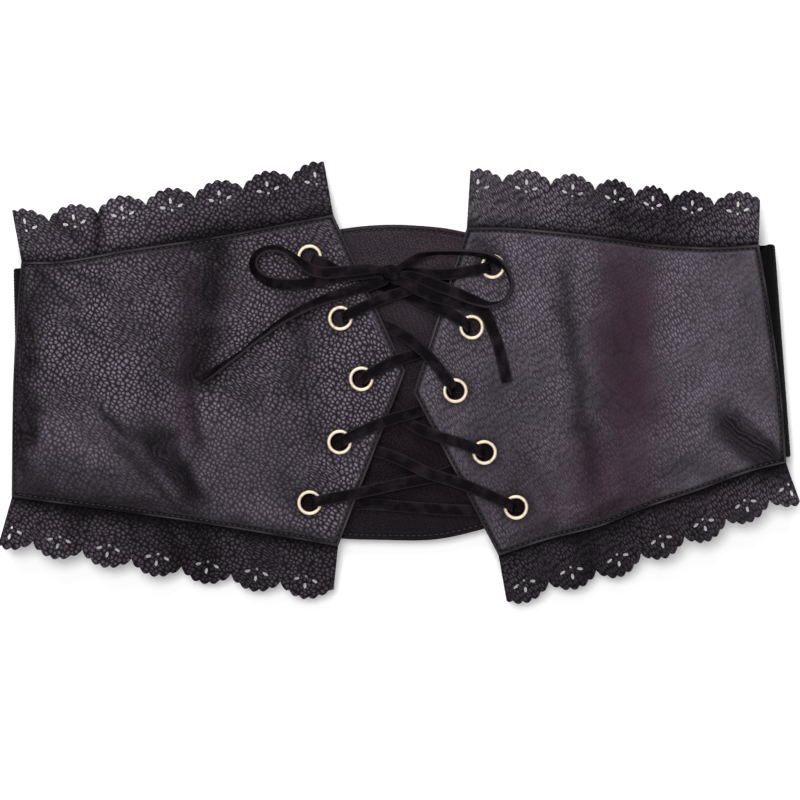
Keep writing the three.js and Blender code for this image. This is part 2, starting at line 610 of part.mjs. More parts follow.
// The five stations of the lace's turn through an eyelet, from behind to the front.
// The lace hugs the eyelet's inner side: it comes in along one direction and leaves along another.
function eyeletTurn(side, number, behindPoint, frontPoint) {
  const [cx, cy] = eyeletCentre(side, number);
  const centre = new THREE.Vector2(cx, cy);
  const way = (p) => new THREE.Vector2(p[0], p[1]).sub(centre).normalize();
  const back = way(behindPoint);
  const front = way(frontPoint);
  const middle = back.clone().add(front).normalize();
  const bend = eyeletBore / 2 - clearance;
  const rows = [
    [back, bend * 0.68, behind + 0.2],
    [middle, bend * 0.46, behind + 1.1],
    [middle, bend * 0.42, (behind + onRing) / 2],
    [middle, bend * 0.46, onRing - 1.3],
    [front, bend * 0.72, onRing - 0.1],
  ];
  return rows.map(([direction, out, lift]) => {
    const across = new THREE.Vector3(-direction.y, direction.x, 0);
    if (across.y < 0) across.negate();
    const at = above(cx + direction.x * out, cy + direction.y * out, lift);
    return { at, across, width: 0.85 };
  });
}

// Stations at the points of a smooth curve; the way across stays level and points up the belt.
function levelStations(points) {
  const curve = new THREE.CatmullRomCurve3(points, false, 'centripetal');
  return points.map((at, i) => {
    const along = curve.getTangent(i / (points.length - 1));
    const across = new THREE.Vector3(-along.y, along.x, 0).normalize();
    if (across.y < 0) across.negate();
    return { at, across, width: 1 };
  });
}

// A point just past an eyelet's ring, towards another point.
function pastRing(side, number, towards, lift) {
  const [cx, cy] = eyeletCentre(side, number);
  const way = new THREE.Vector2(towards[0] - cx, towards[1] - cy).normalize();
  const out = eyeletRing / 2 + clearance;
  return above(cx + way.x * out, cy + way.y * out, lift);
}

// The lace that the eyelets hold: from the knot down the left end, along the bar, and up the right end to the knot.
function lacingGeometry() {
  const raised = (points) => points.map((p) => above(...p));
  const downFromKnot = (end, firstSide) => {
    const stations = [];
    let side = firstSide;
    let arriving = end;
    for (let row = 5; row >= 1; row--) {
      const last = arriving[arriving.length - 1];
      const crossing = crossings.find((c) => c.to[0] === side && c.to[1] === row);
      const barFromHere = side === 'left' ? bar : [...bar].reverse();
      const leaving = crossing ? [...crossing.points].reverse() : barFromHere;
      stations.push(...levelStations([...raised(arriving), pastRing(side, row, last, onRing)]));
      stations.push(...eyeletTurn(side, row, leaving[0], last).reverse());
      arriving = leaving;
      side = side === 'left' ? 'right' : 'left';
    }
    return stations;
  };
  const left = downFromKnot([...leftEnd].reverse(), 'left');
  const right = downFromKnot([...rightEnd].reverse(), 'right');
  return ribbon([...left, ...levelStations(raised(bar)), ...right.reverse()]);
}

// A loop or a loose end of the bow, with its rolls.
function bowStrand(points) {
  const curve = new THREE.CatmullRomCurve3(points.map(([x, y, lift]) => above(x, y, lift)), false, 'centripetal');
  const stations = points.map(([, , , roll, width], i) => {
    const along = curve.getTangent(i / (points.length - 1));
    const level = new THREE.Vector3(-along.y, along.x, 0).normalize();
    const across = level.applyAxisAngle(along, THREE.MathUtils.degToRad(roll));
    return { at: curve.points[i], across, width };
  });
  return ribbon(stations);
}

function knotGeometry() {
  const geometry = new THREE.SphereGeometry(0.5, 10, 6);
  geometry.rotateX(Math.PI / 2);
  geometry.scale(...knotSize);
  geometry.deleteAttribute('normal');
  geometry.deleteAttribute('uv');
  const centre = above(...knotCentre);
  geometry.translate(centre.x, centre.y, centre.z);
  return outward(mergeVertices(geometry, 1e-4));
}

// Materials
const finish = (name, color, roughness, metalness = 0) => new THREE.MeshStandardMaterial({ name, color, roughness, metalness });
const grainedLeather = finish('grained leather', 0x2b272c, 0.55);
const tongueLeatherFinish = finish('tongue leather', 0x2e292e, 0.6);
const elasticFinish = finish('elastic', 0x0c0b0d, 0.9);
const laceFinish = finish('lace', 0x171417, 0.85);
const brass = finish('eyelet brass', 0xcbb48f, 0.3, 1);

// The belt
const belt = new THREE.Group();
belt.name = 'corset_belt';
function addPiece(name, geometry, material) {
  const mesh = new THREE.Mesh(geometry, material);
  mesh.name = name;
  belt.add(mesh);
  return mesh;
}

addPiece('panel_left', panelGeometry(shapes.left), grainedLeather);
addPiece('panel_right', panelGeometry(shapes.right), grainedLeather);
for (const trim of trims) addPiece(trim.name, trimGeometry(trim), grainedLeather);
addPiece('tongue', tongueGeometry(), tongueLeatherFinish);
addPiece('elastic_back', elasticGeometry(), elasticFinish);
for (const side of ['left', 'right']) {
  for (let number = 1; number <= 5; number++) {
    const [x, y] = eyeletCentre(side, number);
    const eyelet = addPiece(`eyelet_${side}_${number}`, eyeletGeometry(), brass);
    eyelet.position.set(x, y, underside(x, y) + panelLeather);
  }
}
addPiece('lacing', lacingGeometry(), laceFinish);
addPiece('bow_knot', knotGeometry(), laceFinish);
for (const [name, points] of Object.entries({ ...bowLoops, ...laceTails })) addPiece(name, bowStrand(points), laceFinish);

export default belt;
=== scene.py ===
"""A corset belt lying on its back on a pale table, seen from straight above.

Two front panels of black grained leather are laced over a tongue, pierced scalloped trims line their long
edges, and a wide elastic closes the belt behind. Every length is in metres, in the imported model's frame:
+X along the belt, +Y towards its top edge, +Z up, out of its front.
"""
import math

import bpy
import numpy as np
from mathutils.geometry import delaunay_2d_cdt
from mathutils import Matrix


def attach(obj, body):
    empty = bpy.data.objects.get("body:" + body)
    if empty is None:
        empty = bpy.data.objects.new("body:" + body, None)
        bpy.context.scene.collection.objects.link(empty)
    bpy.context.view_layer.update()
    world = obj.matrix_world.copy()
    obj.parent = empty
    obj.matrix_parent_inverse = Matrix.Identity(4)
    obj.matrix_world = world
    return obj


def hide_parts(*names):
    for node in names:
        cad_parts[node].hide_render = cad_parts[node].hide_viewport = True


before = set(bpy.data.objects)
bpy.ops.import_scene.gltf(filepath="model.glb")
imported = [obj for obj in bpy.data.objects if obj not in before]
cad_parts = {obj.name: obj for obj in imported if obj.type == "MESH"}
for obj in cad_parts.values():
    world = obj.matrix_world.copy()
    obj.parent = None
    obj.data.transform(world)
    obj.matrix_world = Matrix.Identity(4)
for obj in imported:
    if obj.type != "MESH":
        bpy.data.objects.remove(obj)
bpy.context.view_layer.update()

# Driving sizes, as the solids have them
SIDE_REACH = 0.175
FRONT_HEIGHT = 0.150
CLEARANCE = 0.0003
PANEL_LEATHER = 0.0022
TRIM_LEATHER = 0.0015
TONGUE_LEATHER = 0.0015
ELASTIC_THICKNESS = 0.0014
HOLLOW_HEIGHT = 0.0073
LACE_ROOM = 0.0028
FOLD_HEIGHT = 0.019
SEWN_LENGTH = 0.016
EDGE_DIP = 0.0032
TRIM_HEIGHT = 0.026
TRIM_TUCK = 0.0024
TRIM_GAP = 0.0004
SCALLOP_PITCH = 0.022
SCALLOP_DEPTH = 0.0051
LOBE_DEPTH = 0.0013
LOBES = 5
SHORTEST_CELL = 0.002
PETAL = (0.0026, 0.0013)
PETAL_RING = 0.0043
FLOWER_INSET = 0.0104
FLOWER_EYE = 0.0012
RUFFLE_DEPTH = 0.0011
TRIM_DROOP = 0.0015
CREASE_DEPTH = 0.0013
EYELET_BORE = 0.0082
EYELET_WALL = 0.00035
EYELET_RING = 0.0112
EYELET_BACK_RING = 0.0106
EYELET_RISE = 0.0007
LACE_WIDTH = 0.0052
LACE_THICKNESS = 0.0012
FOLD_RADIUS = FOLD_HEIGHT / 2
MIDDLE_UNDERSIDE = ELASTIC_THICKNESS + HOLLOW_HEIGHT + TONGUE_LEATHER + LACE_ROOM
SIDE_UNDERSIDE = FOLD_HEIGHT + CLEARANCE
FLAT_SHARE, FULL_SHARE = 0.345, 0.8

# Corners: x as a share of SIDE_REACH, y as a share of FRONT_HEIGHT.
# Edges: the share of the way from one corner to the next.
SHAPES = {
    "left": {
        "side": -1,
        "outer_top": (0.970, 0.361), "outer_bottom": (0.997, -0.343),
        "front_top": (0.170, 0.505), "tip": (-0.018, 0.035), "front_bottom": (0.157, -0.493),
        "outer_edge": [(0, 0), (0.45, 0.15), (0.75, 0.5), (1, 1)],
        "top": [(0, 0), (0.13, 0.02), (0.32, 0.23), (0.64, 0.56), (1, 1)],
        "bottom": [(0, 0), (0.13, 0.12), (0.32, 0.28), (0.64, 0.6), (1, 1)],
        "fold_top": (0.996, 0.343), "fold_bottom": (0.983, -0.325), "sewn": (-0.325, 0.343),
        "creases": [(0.515, 0.065, -1), (0.64, 0.075, 0.6)],
        "eyelets": [(0.230, -0.361), (0.153, -0.179), (0.097, 0.011), (0.151, 0.193), (0.230, 0.377)],
    },
    "right": {
        "side": 1,
        "outer_top": (0.924, 0.413), "outer_bottom": (0.995, -0.241),
        "front_top": (0.175, 0.463), "tip": (0.036, -0.031), "front_bottom": (0.257, -0.521),
        "outer_edge": [(0, 0), (0.32, 0.18), (0.72, 0.62), (1, 1)],
        "top": [(0, 0), (0.13, -0.16), (0.24, -0.12), (0.37, 0.05), (0.52, 0.45), (0.7, 0.83), (0.86, 1.05),
                (1, 1.05)],
        "bottom": [(0, 0), (0.13, 0.1), (0.3, 0.29), (0.51, 0.51), (0.65, 0.69), (0.83, 0.83), (1, 1)],
        "fold_top": (0.971, 0.415), "fold_bottom": (1.012, -0.224), "sewn": (-0.223, 0.384),
        "creases": [(0.48, 0.07, -0.8), (0.61, 0.08, 0.6)],
        "eyelets": [(0.301, -0.375), (0.220, -0.210), (0.145, -0.025), (0.187, 0.166), (0.241, 0.348)],
    },
}

# Trims: height as shares of TRIM_HEIGHT at the outer end, middle and front end; lean of the two ends in
# degrees; each scallop's share of SCALLOP_PITCH; how much of the first scallop the outer end cuts off.
TRIMS = {
    "trim_top_left": ("left", "top", (0.95, 0.97, 0.98), (11, 9.8), (1,) * 7, 0.28),
    "trim_top_right": ("right", "top", (0.95, 1.04, 1.04), (2, 3.5),
                       (0.98, 0.89, 0.74, 0.82, 0.92, 1, 1), 0.04),
    "trim_bottom_left": ("left", "bottom", (0.93, 1.04, 1), (16.5, 6), (1,) * 7, 0.32),
    "trim_bottom_right": ("right", "bottom", (0.77, 0.95, 0.95), (20, 10),
                          (0.95, 0.94, 0.9, 0.92, 0.955, 0.98, 0.98), 0.39),
}


# Numbers on arrays

FAR_AWAY = 9.0  # more than any distance here


def mix(a, b, share):
    """a plus share times (b - a)."""
    return a + (b - a) * share


def smooth(q):
    """3q^2 - 2q^3, with q held between 0 and 1."""
    q = np.clip(q, 0, 1)
    return q * q * (3 - 2 * q)


def follow(table, q):
    """A cubic Hermite curve through rows of (position, value), at a row as steep as between its neighbours,
    and followed at positions q."""
    xs, ys = np.array(table, float).T
    q = np.asarray(q, float)
    rows = np.arange(len(xs))
    before, after = np.maximum(rows - 1, 0), np.minimum(rows + 1, len(xs) - 1)
    slopes = (ys[after] - ys[before]) / (xs[after] - xs[before])
    i = np.searchsorted(xs[1:-1], q)
    h = xs[i + 1] - xs[i]
    s = (q - xs[i]) / h
    return (ys[i] * (1 + 2 * s) * (1 - s) ** 2 + slopes[i] * h * s * (1 - s) ** 2
            + ys[i + 1] * s * s * (3 - 2 * s) + slopes[i + 1] * h * s * s * (s - 1))


def random_at(i, j, seed):
    """A fixed random number from 0 to 1 for each whole-number pair: its bits are multiplied and folded."""
    h = (i.astype(np.int64) * 374761393 + j.astype(np.int64) * 668265263 + seed * 974634777) & 0xFFFFFFFF
    h = ((h ^ (h >> 13)) * 1274126177) & 0xFFFFFFFF
    h = ((h ^ (h >> 15)) * 2246822519) & 0xFFFFFFFF
    return (h ^ (h >> 16)) / 0xFFFFFFFF


def drift(x, y, size, seed):
    """Smooth noise from -1 to 1: random numbers on a square lattice, blended by smooth weights."""
    u, v = x / size, y / size
    i, j = np.floor(u), np.floor(v)
    s, t = smooth(u - i), smooth(v - j)
    low = mix(random_at(i, j, seed), random_at(i + 1, j, seed), s)
    high = mix(random_at(i, j + 1, seed), random_at(i + 1, j + 1, seed), s)
    return 2 * mix(low, high, t) - 1


def line_distance(x, y, line):
    """Each point's distance to an open line of points."""
    x, y = np.atleast_1d(x), np.atleast_1d(y)
    run = line[1:] - line[:-1]
    best = np.full(x.shape, FAR_AWAY)
    for p, d, length in zip(line, run, np.hypot(*run.T)):
        t = np.clip(((x - p[0]) * d[0] + (y - p[1]) * d[1]) / (length * length), 0, 1)
        best = np.minimum(best, np.hypot(x - p[0] - t * d[0], y - p[1] - t * d[1]))
    return best


def lengths_along(line):
    """The length along a line of points, from its first point to each."""
    return np.concatenate([[0], np.cumsum(np.linalg.norm(np.diff(line, axis=0), axis=1))])


# The belt's form

def place(shape, corner):
    """A corner's shares times the driving sizes, on the shape's side."""
    return np.array([shape["side"] * corner[0] * SIDE_REACH, corner[1] * FRONT_HEIGHT])


def fold_x(shape, y):
    """Where the elastic's fold stands at height y."""
    top, bottom = place(shape, shape["fold_top"]), place(shape, shape["fold_bottom"])
    return mix(bottom[0], top[0], (y - bottom[1]) / (top[1] - bottom[1]))


def underside(x, y):
    """The height of the front's underside: low in the middle, smoothly higher at the sides, bent down by the
    square of the way past the fold's centre, with cosine-squared creases."""
    x, y = np.asarray(x, float), np.asarray(y, float)
    share = np.abs(x) / SIDE_REACH
    z = mix(MIDDLE_UNDERSIDE, SIDE_UNDERSIDE, smooth((share - FLAT_SHARE) / (FULL_SHARE - FLAT_SHARE)))
    for shape in SHAPES.values():
        here = (x < 0) == (shape["side"] < 0)
        past = np.maximum(0, FOLD_RADIUS - (np.abs(fold_x(shape, y)) - np.abs(x)))
        z = z - here * EDGE_DIP * (past / FOLD_RADIUS) ** 2
        for at, half_width, depth in shape["creases"]:
            q = np.clip((share - at) / half_width, -1, 1)
            z = z + here * depth * CREASE_DEPTH * np.cos(math.pi * q / 2) ** 2
    return z


def seam_point(shape, edge, share):
    """A point on a panel's long edge, a share of the way from the belt's side to its front."""
    outer, front = place(shape, shape["outer_" + edge]), place(shape, shape["front_" + edge])
    return np.stack([mix(outer[0], front[0], share), mix(outer[1], front[1], follow(shape[edge], share))], -1)


def panel_point(shape, along, up):
    """A panel point: along from the belt's side to the lacing edge, up from bottom seam to top seam."""
    bottom, tip, top = (place(shape, shape[c]) for c in ("front_bottom", "tip", "front_top"))
    tip_up = (tip[1] - bottom[1]) / (top[1] - bottom[1])
    front_x = np.where(up < tip_up, mix(bottom[0], tip[0], up / tip_up),
                       mix(tip[0], top[0], (up - tip_up) / (1 - tip_up)))
    outer_x = mix(place(shape, shape["outer_bottom"])[0], place(shape, shape["outer_top"])[0],
                  follow(shape["outer_edge"], up))
    y = mix(seam_point(shape, "bottom", along)[..., 1], seam_point(shape, "top", along)[..., 1], up)
    return mix(outer_x, front_x, along), y


# Meshes

def mesh_piece(name, points, faces, finishes, values=None, part_finish=None, sharp=None):
    """Puts arrays into a mesh object at the origin. faces is a list of (n, corners) arrays, values holds one
    number per point under each name, and part_finish one material number per face."""
    mesh = bpy.data.meshes.new(name)
    corners = np.concatenate([f.ravel() for f in faces]).astype(np.int32)
    sizes = np.concatenate([np.full(len(f), f.shape[1]) for f in faces])
    mesh.vertices.add(len(points))
    mesh.vertices.foreach_set("co", np.asarray(points, np.float32).ravel())
    mesh.loops.add(len(corners))
    mesh.loops.foreach_set("vertex_index", corners)
    mesh.polygons.add(len(sizes))
    mesh.polygons.foreach_set("loop_start", (np.cumsum(sizes) - sizes).astype(np.int32))
    mesh.update(calc_edges=True)
    for key, numbers in (values or {}).items():
        attribute = mesh.attributes.new(key, "FLOAT", "POINT")
        attribute.data.foreach_set("value", np.asarray(numbers, np.float32).ravel())
    for finish in finishes:
        mesh.materials.append(finish)
    if part_finish is not None:
        mesh.polygons.foreach_set("material_index", np.asarray(part_finish, np.int32))
    mesh.shade_smooth()
    if sharp is not None:
        mesh.set_sharp_from_angle(angle=math.radians(sharp))
    obj = bpy.data.objects.new(name, mesh)
    bpy.context.scene.collection.objects.link(obj)
    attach(obj, "root")
    return obj


def outward(points, faces):
    """Turns every face round where the closed mesh's signed volume, the sum of a . (b x c), is negative."""
    volume = 0.0
    for f in faces:
        for k in range(1, f.shape[1] - 1):
            a, b, c = points[f[:, 0]], points[f[:, k]], points[f[:, k + 1]]
            volume += np.einsum("ij,ij->", a, np.cross(b, c))
    return faces if volume > 0 else [f[:, ::-1] for f in faces]


def grid_faces(index):
    """Four-cornered faces over a grid of point numbers."""
    return np.stack([index[:-1, :-1], index[1:, :-1], index[1:, 1:], index[:-1, 1:]], -1).reshape(-1, 4)


def pillow(upper, lower):
    """A closed sheet from two grids that share their border points."""
    rows, columns = upper.shape[:2]
    top = np.arange(rows * columns).reshape(rows, columns)
    bottom = top.copy()
    inner = (rows - 2) * (columns - 2)
    bottom[1:-1, 1:-1] = rows * columns + np.arange(inner).reshape(rows - 2, columns - 2)
    points = np.concatenate([upper.reshape(-1, 3), lower[1:-1, 1:-1].reshape(-1, 3)])
    return points, outward(points, [grid_faces(top), grid_faces(bottom)[:, ::-1]])


def pillow_values(points, **numbers):
    """Values for a pillow's points: an array for the upper face and one number for all points below."""
    return {key: np.concatenate([above.ravel(), np.full(len(points) - above.size, float(below))])
            for key, (above, below) in numbers.items()}


def tube_faces(rings, around):
    """Faces of a closed tube of rings, with a fan of triangles round a middle point at each end.
    The two middle points come after the rings."""
    index = np.arange(rings * around).reshape(rings, around)
    index = np.concatenate([index, index[:, :1]], 1)
    sides = grid_faces(index)
    first, last = rings * around, rings * around + 1
    head = np.stack([np.full(around, first), index[0, :-1], index[0, 1:]], -1)
    tail = np.stack([np.full(around, last), index[-1, 1:], index[-1, :-1]], -1)
    return [sides, np.concatenate([head, tail])]


# Shader maths

class Socket:
    """An output socket of a finish's node tree that takes part in sums and products."""

    def __init__(self, finish, link):
        self.finish, self.link = finish, link

    def __add__(self, other):
        return self.finish.maths("ADD", self, other)

    def __sub__(self, other):
        return self.finish.maths("SUBTRACT", self, other)

    def __rsub__(self, other):
        return self.finish.maths("SUBTRACT", other, self)

    def __mul__(self, other):
        return self.finish.maths("MULTIPLY", self, other)

    __radd__ = __add__
    __rmul__ = __mul__


class Finish:
    """A material built on one Principled shader."""

    def __init__(self, name, **constants):
        self.material = bpy.data.materials.new(name)
        self.material.use_nodes = True
        self.tree = self.material.node_tree
        self.shader = self.tree.nodes["Principled BSDF"]
        self.set(**constants)

    def node(self, kind, settings=None, values=None, out=0):
        """Adds any node: its settings first, then the values or links of its sockets. Returns one output."""
        node = self.tree.nodes.new(kind)
        for key, value in (settings or {}).items():
            setattr(node, key, value)
        for key, value in (values or {}).items():
            self.feed(node.inputs[key], value)
        return Socket(self, node.outputs[out])

    def feed(self, target, value):
        """Links a socket to a target, or sets the target's number."""
        if isinstance(value, Socket):
            self.tree.links.new(value.link, target)
        else:
            target.default_value = value

    def maths(self, operation, a, b):
        return self.node("ShaderNodeMath", {"operation": operation}, {0: a, 1: b})

    def value(self, name):
        """A number that the mesh holds for each point."""
        return self.node("ShaderNodeAttribute", {"attribute_name": name}, out="Fac")

    def between(self, low, high, source, a=0.0, b=1.0):
        """source from low..high onto a..b, smoothed and held."""
        return self.node("ShaderNodeMapRange", {"interpolation_type": "SMOOTHSTEP"},
                         {"Value": source, "From Min": low, "From Max": high, "To Min": a, "To Max": b})

    def colours(self, a, b, share):
        """A blend of two colours by a share."""
        pick = {6: (*a, 1) if isinstance(a, tuple) else a, 7: (*b, 1) if isinstance(b, tuple) else b}
        return self.node("ShaderNodeMix", {"data_type": "RGBA"}, {0: share, **pick}, out=2)

    def noise(self, scale, detail=2.0, rough=0.5, colour=False):
        """Noise on Object coordinates: a number, or three of them as a colour."""
        return self.node("ShaderNodeTexNoise", None,
                         {"Vector": self.here(), "Scale": scale, "Detail": detail, "Roughness": rough},
                         out="Color" if colour else "Fac")

    def cells(self, where, scale, feature):
        """A flat pattern of cells: the distance to the nearest middle or border, in cells."""
        return self.node("ShaderNodeTexVoronoi", {"feature": feature, "voronoi_dimensions": "2D"},
                         {"Vector": where, "Scale": scale, "Randomness": 0.75})

    def vectors(self, operation, a, b):
        return self.node("ShaderNodeVectorMath", {"operation": operation}, {0: a, 1: b})

    def here(self):
        return self.node("ShaderNodeTexCoord", out="Object")

    def set(self, **sockets):
        """Numbers, colours or links for the shader's sockets, whose names have _ for each space."""
        for name, value in sockets.items():
            self.feed(self.shader.inputs[name.replace("_", " ")], value)

    def bump(self, height, distance):
        """Feeds the shader's Normal with a bump: the height, from 0 to 1, times a distance."""
        self.set(Normal=self.node("ShaderNodeBump", None, {"Height": height, "Distance": distance}))


def leather(name, cell, stretch, turn, dark, light, tint, gloss, depth):
    """Grained leather. Pebbles are the cells of a flat pattern, warped, turned and stretched: each domes up
    from a thin groove and has its own brightness; the colour is painted lighter on the tops and darker in the
    grooves, a painted highlight and shade of the grain. Where the leather is drawn, long thin cells take
    their place. The mesh says how strong the grain is (grain), the painted light and shade of each place,
    how plum (plum), and how rubbed the edge is, with a painted highlight along it."""
    f = Finish(name, Specular_IOR_Level=0.15, Specular_Tint=(1.0, 0.86, 1.0, 1.0))
    grain, tone, plum, worn = (f.value(key) for key in ("grain", "tone", "plum", "worn"))
    warp = f.noise(0.35 / cell, 2, 0.5, colour=True)
    sway = f.noise(28, 1, 0.5, colour=True)
    bend = f.vectors("MULTIPLY", f.vectors("SUBTRACT", warp, (0.5, 0.5, 0.5)), (cell * 0.8, cell * 0.8, 0))
    swing = f.vectors("MULTIPLY", f.vectors("SUBTRACT", sway, (0.5, 0.5, 0.5)), (0.005, 0.005, 0))
    where = f.vectors("ADD", f.here(), f.vectors("ADD", bend, swing))

    def turned(stretch):
        return f.node("ShaderNodeMapping", {"vector_type": "TEXTURE"},
                      {"Vector": where, "Rotation": (0, 0, math.radians(turn)), "Scale": (stretch, 1, 1)})

    flat = turned(stretch)
    middle = f.cells(flat, 1 / cell, "F1")
    border = f.cells(flat, 1 / cell, "DISTANCE_TO_EDGE")
    streak = f.cells(turned(stretch * 2.2), 1.45 / cell, "DISTANCE_TO_EDGE")
    cloud = f.noise(60, 3, 0.6)
    drawn = f.between(0.5, 0.62, f.noise(38, 2, 0.5)) * 0.75
    fleck = f.noise(2600, 2, 0.6)
    own = f.between(0.25, 0.75, Socket(f, middle.link.node.outputs["Color"]), 0.7, 1)
    pebble = f.between(0.0, 0.24, border, 0.25, 1) * f.between(0.7, 0.12, middle, 0.15, 1) * own
    height = pebble * (1 - drawn) + f.between(0.0, 0.4, streak) * drawn * 0.72
    seen = 0.42 + (height - 0.42) * grain
    top = f.colours(light, tint, plum)
    # Painted highlight and shade of the grain: lighter on the pebbles' tops, darker in the grooves, with a
    # random brightness from the cloud noise.
    base = f.colours(dark, top, f.between(0.0, 1.0, seen * (0.55 + cloud * 0.9)))
    # Painted light and shade from the mesh: where it is low, the colour is darkened towards near black.
    base = f.colours((0.0006, 0.0005, 0.0006), base, tone)
    # Rubbed edge, painted lighter: partly wear, partly a painted highlight along the edge's roll.
    f.set(Base_Color=f.colours(base, (0.1, 0.09, 0.1), worn))
    uneven = (cloud - 0.5) * 0.12 + (fleck - 0.5) * 0.08
    f.set(Roughness=gloss + uneven + (1 - seen) * 0.25 + (1 - tone) * 0.5)
    f.bump(seen + fleck * 0.04, depth)
    return f.material


def cut_edge_finish():
    """The raw cut edge of the trims' leather: dark brown-black and fibrous."""
    f = Finish("cut leather edge", Roughness=0.85)
    fibres = f.noise(2200, 3, 0.7)
    f.set(Base_Color=f.colours((0.004, 0.0035, 0.004), (0.016, 0.013, 0.014), fibres))
    f.bump(fibres, 0.00008)
    return f.material


def suede_finish():
    """The lace: matte suede-like, brown-black, with a nap that catches light, darker rubbed patches and a
    painted sheen: its colour painted lighter along its edges.
    """
    f = Finish("suede lace", Specular_IOR_Level=0.04)
    nap = f.noise(1900, 4, 0.7)
    rub = f.noise(140, 3, 0.55)
    # Painted sheen: the colour is lighter where this is high, along the lace's edges.
    edge = f.value("edge")
    base = f.colours((0.0026, 0.0018, 0.0025), (0.0125, 0.0085, 0.012), f.between(0.42, 0.75, rub))
    f.set(Base_Color=f.colours(base, (0.045, 0.037, 0.043), edge * 0.4), Roughness=0.75 + (nap - 0.5) * 0.25)
    f.bump(nap, 0.00012)
    return f.material


def elastic_finish():
    """The elastic: dull black yarn. Ribs are in the mesh, and crossing threads are bump along the band. The
    ribs' crests are painted lighter and the troughs darker, a painted light and shade.
    """
    f = Finish("black elastic", Specular_IOR_Level=0.05)
    rib = f.value("rib")
    threads = f.node("ShaderNodeTexWave", {"wave_type": "BANDS", "bands_direction": "X"},
                     {"Vector": f.here(), "Scale": 480.0, "Distortion": 1.2, "Detail": 2.0,
                      "Detail Scale": 2.0})
    fuzz = f.noise(1500, 3, 0.7)
    # Painted light and shade of the ribs, with a random fuzz.
    f.set(Base_Color=f.colours((0.0006, 0.0006, 0.0007), (0.0032, 0.003, 0.0034), rib * 0.6 + fuzz * 0.4))
    f.set(Roughness=0.8 + (fuzz - 0.5) * 0.3)
    f.bump(threads * 0.6 + fuzz * 0.4, 0.00016)
    return f.material


def thread_finish():
    """The sewing thread: black, twisted, a little shinier than the leather's grooves."""
    f = Finish("black sewing thread", Roughness=0.55)
    twist = f.noise(2600, 2, 0.5)
    f.set(Base_Color=f.colours((0.003, 0.003, 0.0035), (0.02, 0.018, 0.021), twist))
    f.bump(twist, 0.00005)
    return f.material


def brass_finish():
    """The eyelets: pale brass, rubbed dull and even, darker off the rim's top and where it has tarnished."""
    f = Finish("pale worn brass", Metallic=0.35)
    rim = f.value("rim")
    patches = f.noise(420, 3, 0.6)
    scratches = f.noise(3000, 2, 0.5)
    tarnish = f.between(0.5, 0.95, patches + (1 - rim) * 0.32)
    f.set(Base_Color=f.colours((0.62, 0.515, 0.385), (0.2, 0.14, 0.08), tarnish))
    f.set(Roughness=0.48 + tarnish * 0.2 + (scratches - 0.5) * 0.1)
    f.bump(scratches, 0.00001)
    return f.material


LEFT_FINISH = leather("grained leather", 0.00185, 1.12, 150, (0.0012, 0.0009, 0.0013), (0.118, 0.098, 0.125),
                      (0.06, 0.027, 0.045), 0.31, 0.0005)
RIGHT_FINISH = leather("drawn grained leather", 0.00122, 2.0, 122, (0.003, 0.0024, 0.0032),
                       (0.122, 0.103, 0.13), (0.043, 0.0105, 0.028), 0.33, 0.00028)
TONGUE_FINISH = leather("tongue leather", 0.0012, 1.2, 25, (0.0075, 0.0053, 0.0072), (0.0215, 0.0155, 0.0205),
                        (0.032, 0.0135, 0.0225), 0.42, 0.00004)
FINISHES = {"left": LEFT_FINISH, "right": RIGHT_FINISH}
CUT_FINISH = cut_edge_finish()
SUEDE = suede_finish()
ELASTIC = elastic_finish()
THREAD = thread_finish()
BRASS = brass_finish()


# Camera, straight above, with the photograph's frame

PHOTO_SPAN = 0.360  # across the picture, at the panels' height
CAMERA_HEIGHT = 1.7
FRAME_CENTRE = (0.00045, -0.0079)
SENSOR = 0.036
VIEWED_HEIGHT = 0.017


def add_camera():
    camera = bpy.data.objects.new("camera", bpy.data.cameras.new("camera"))
    camera.data.sensor_width = SENSOR * 1000
    camera.data.lens = SENSOR * 1000 * (CAMERA_HEIGHT - VIEWED_HEIGHT) / PHOTO_SPAN
    camera.location = (*FRAME_CENTRE, CAMERA_HEIGHT)
    bpy.context.scene.collection.objects.link(camera)
    bpy.context.scene.camera = camera


add_camera()


# Laces. Points are x, y and the height above the panels' upper face.

ON_PANEL = CLEARANCE + LACE_THICKNESS / 2
ON_RING = ON_PANEL + EYELET_RISE + CLEARANCE
BEHIND = -(PANEL_LEATHER + 2 * CLEARANCE + EYELET_RISE + CLEARANCE / 3 + LACE_THICKNESS / 2)

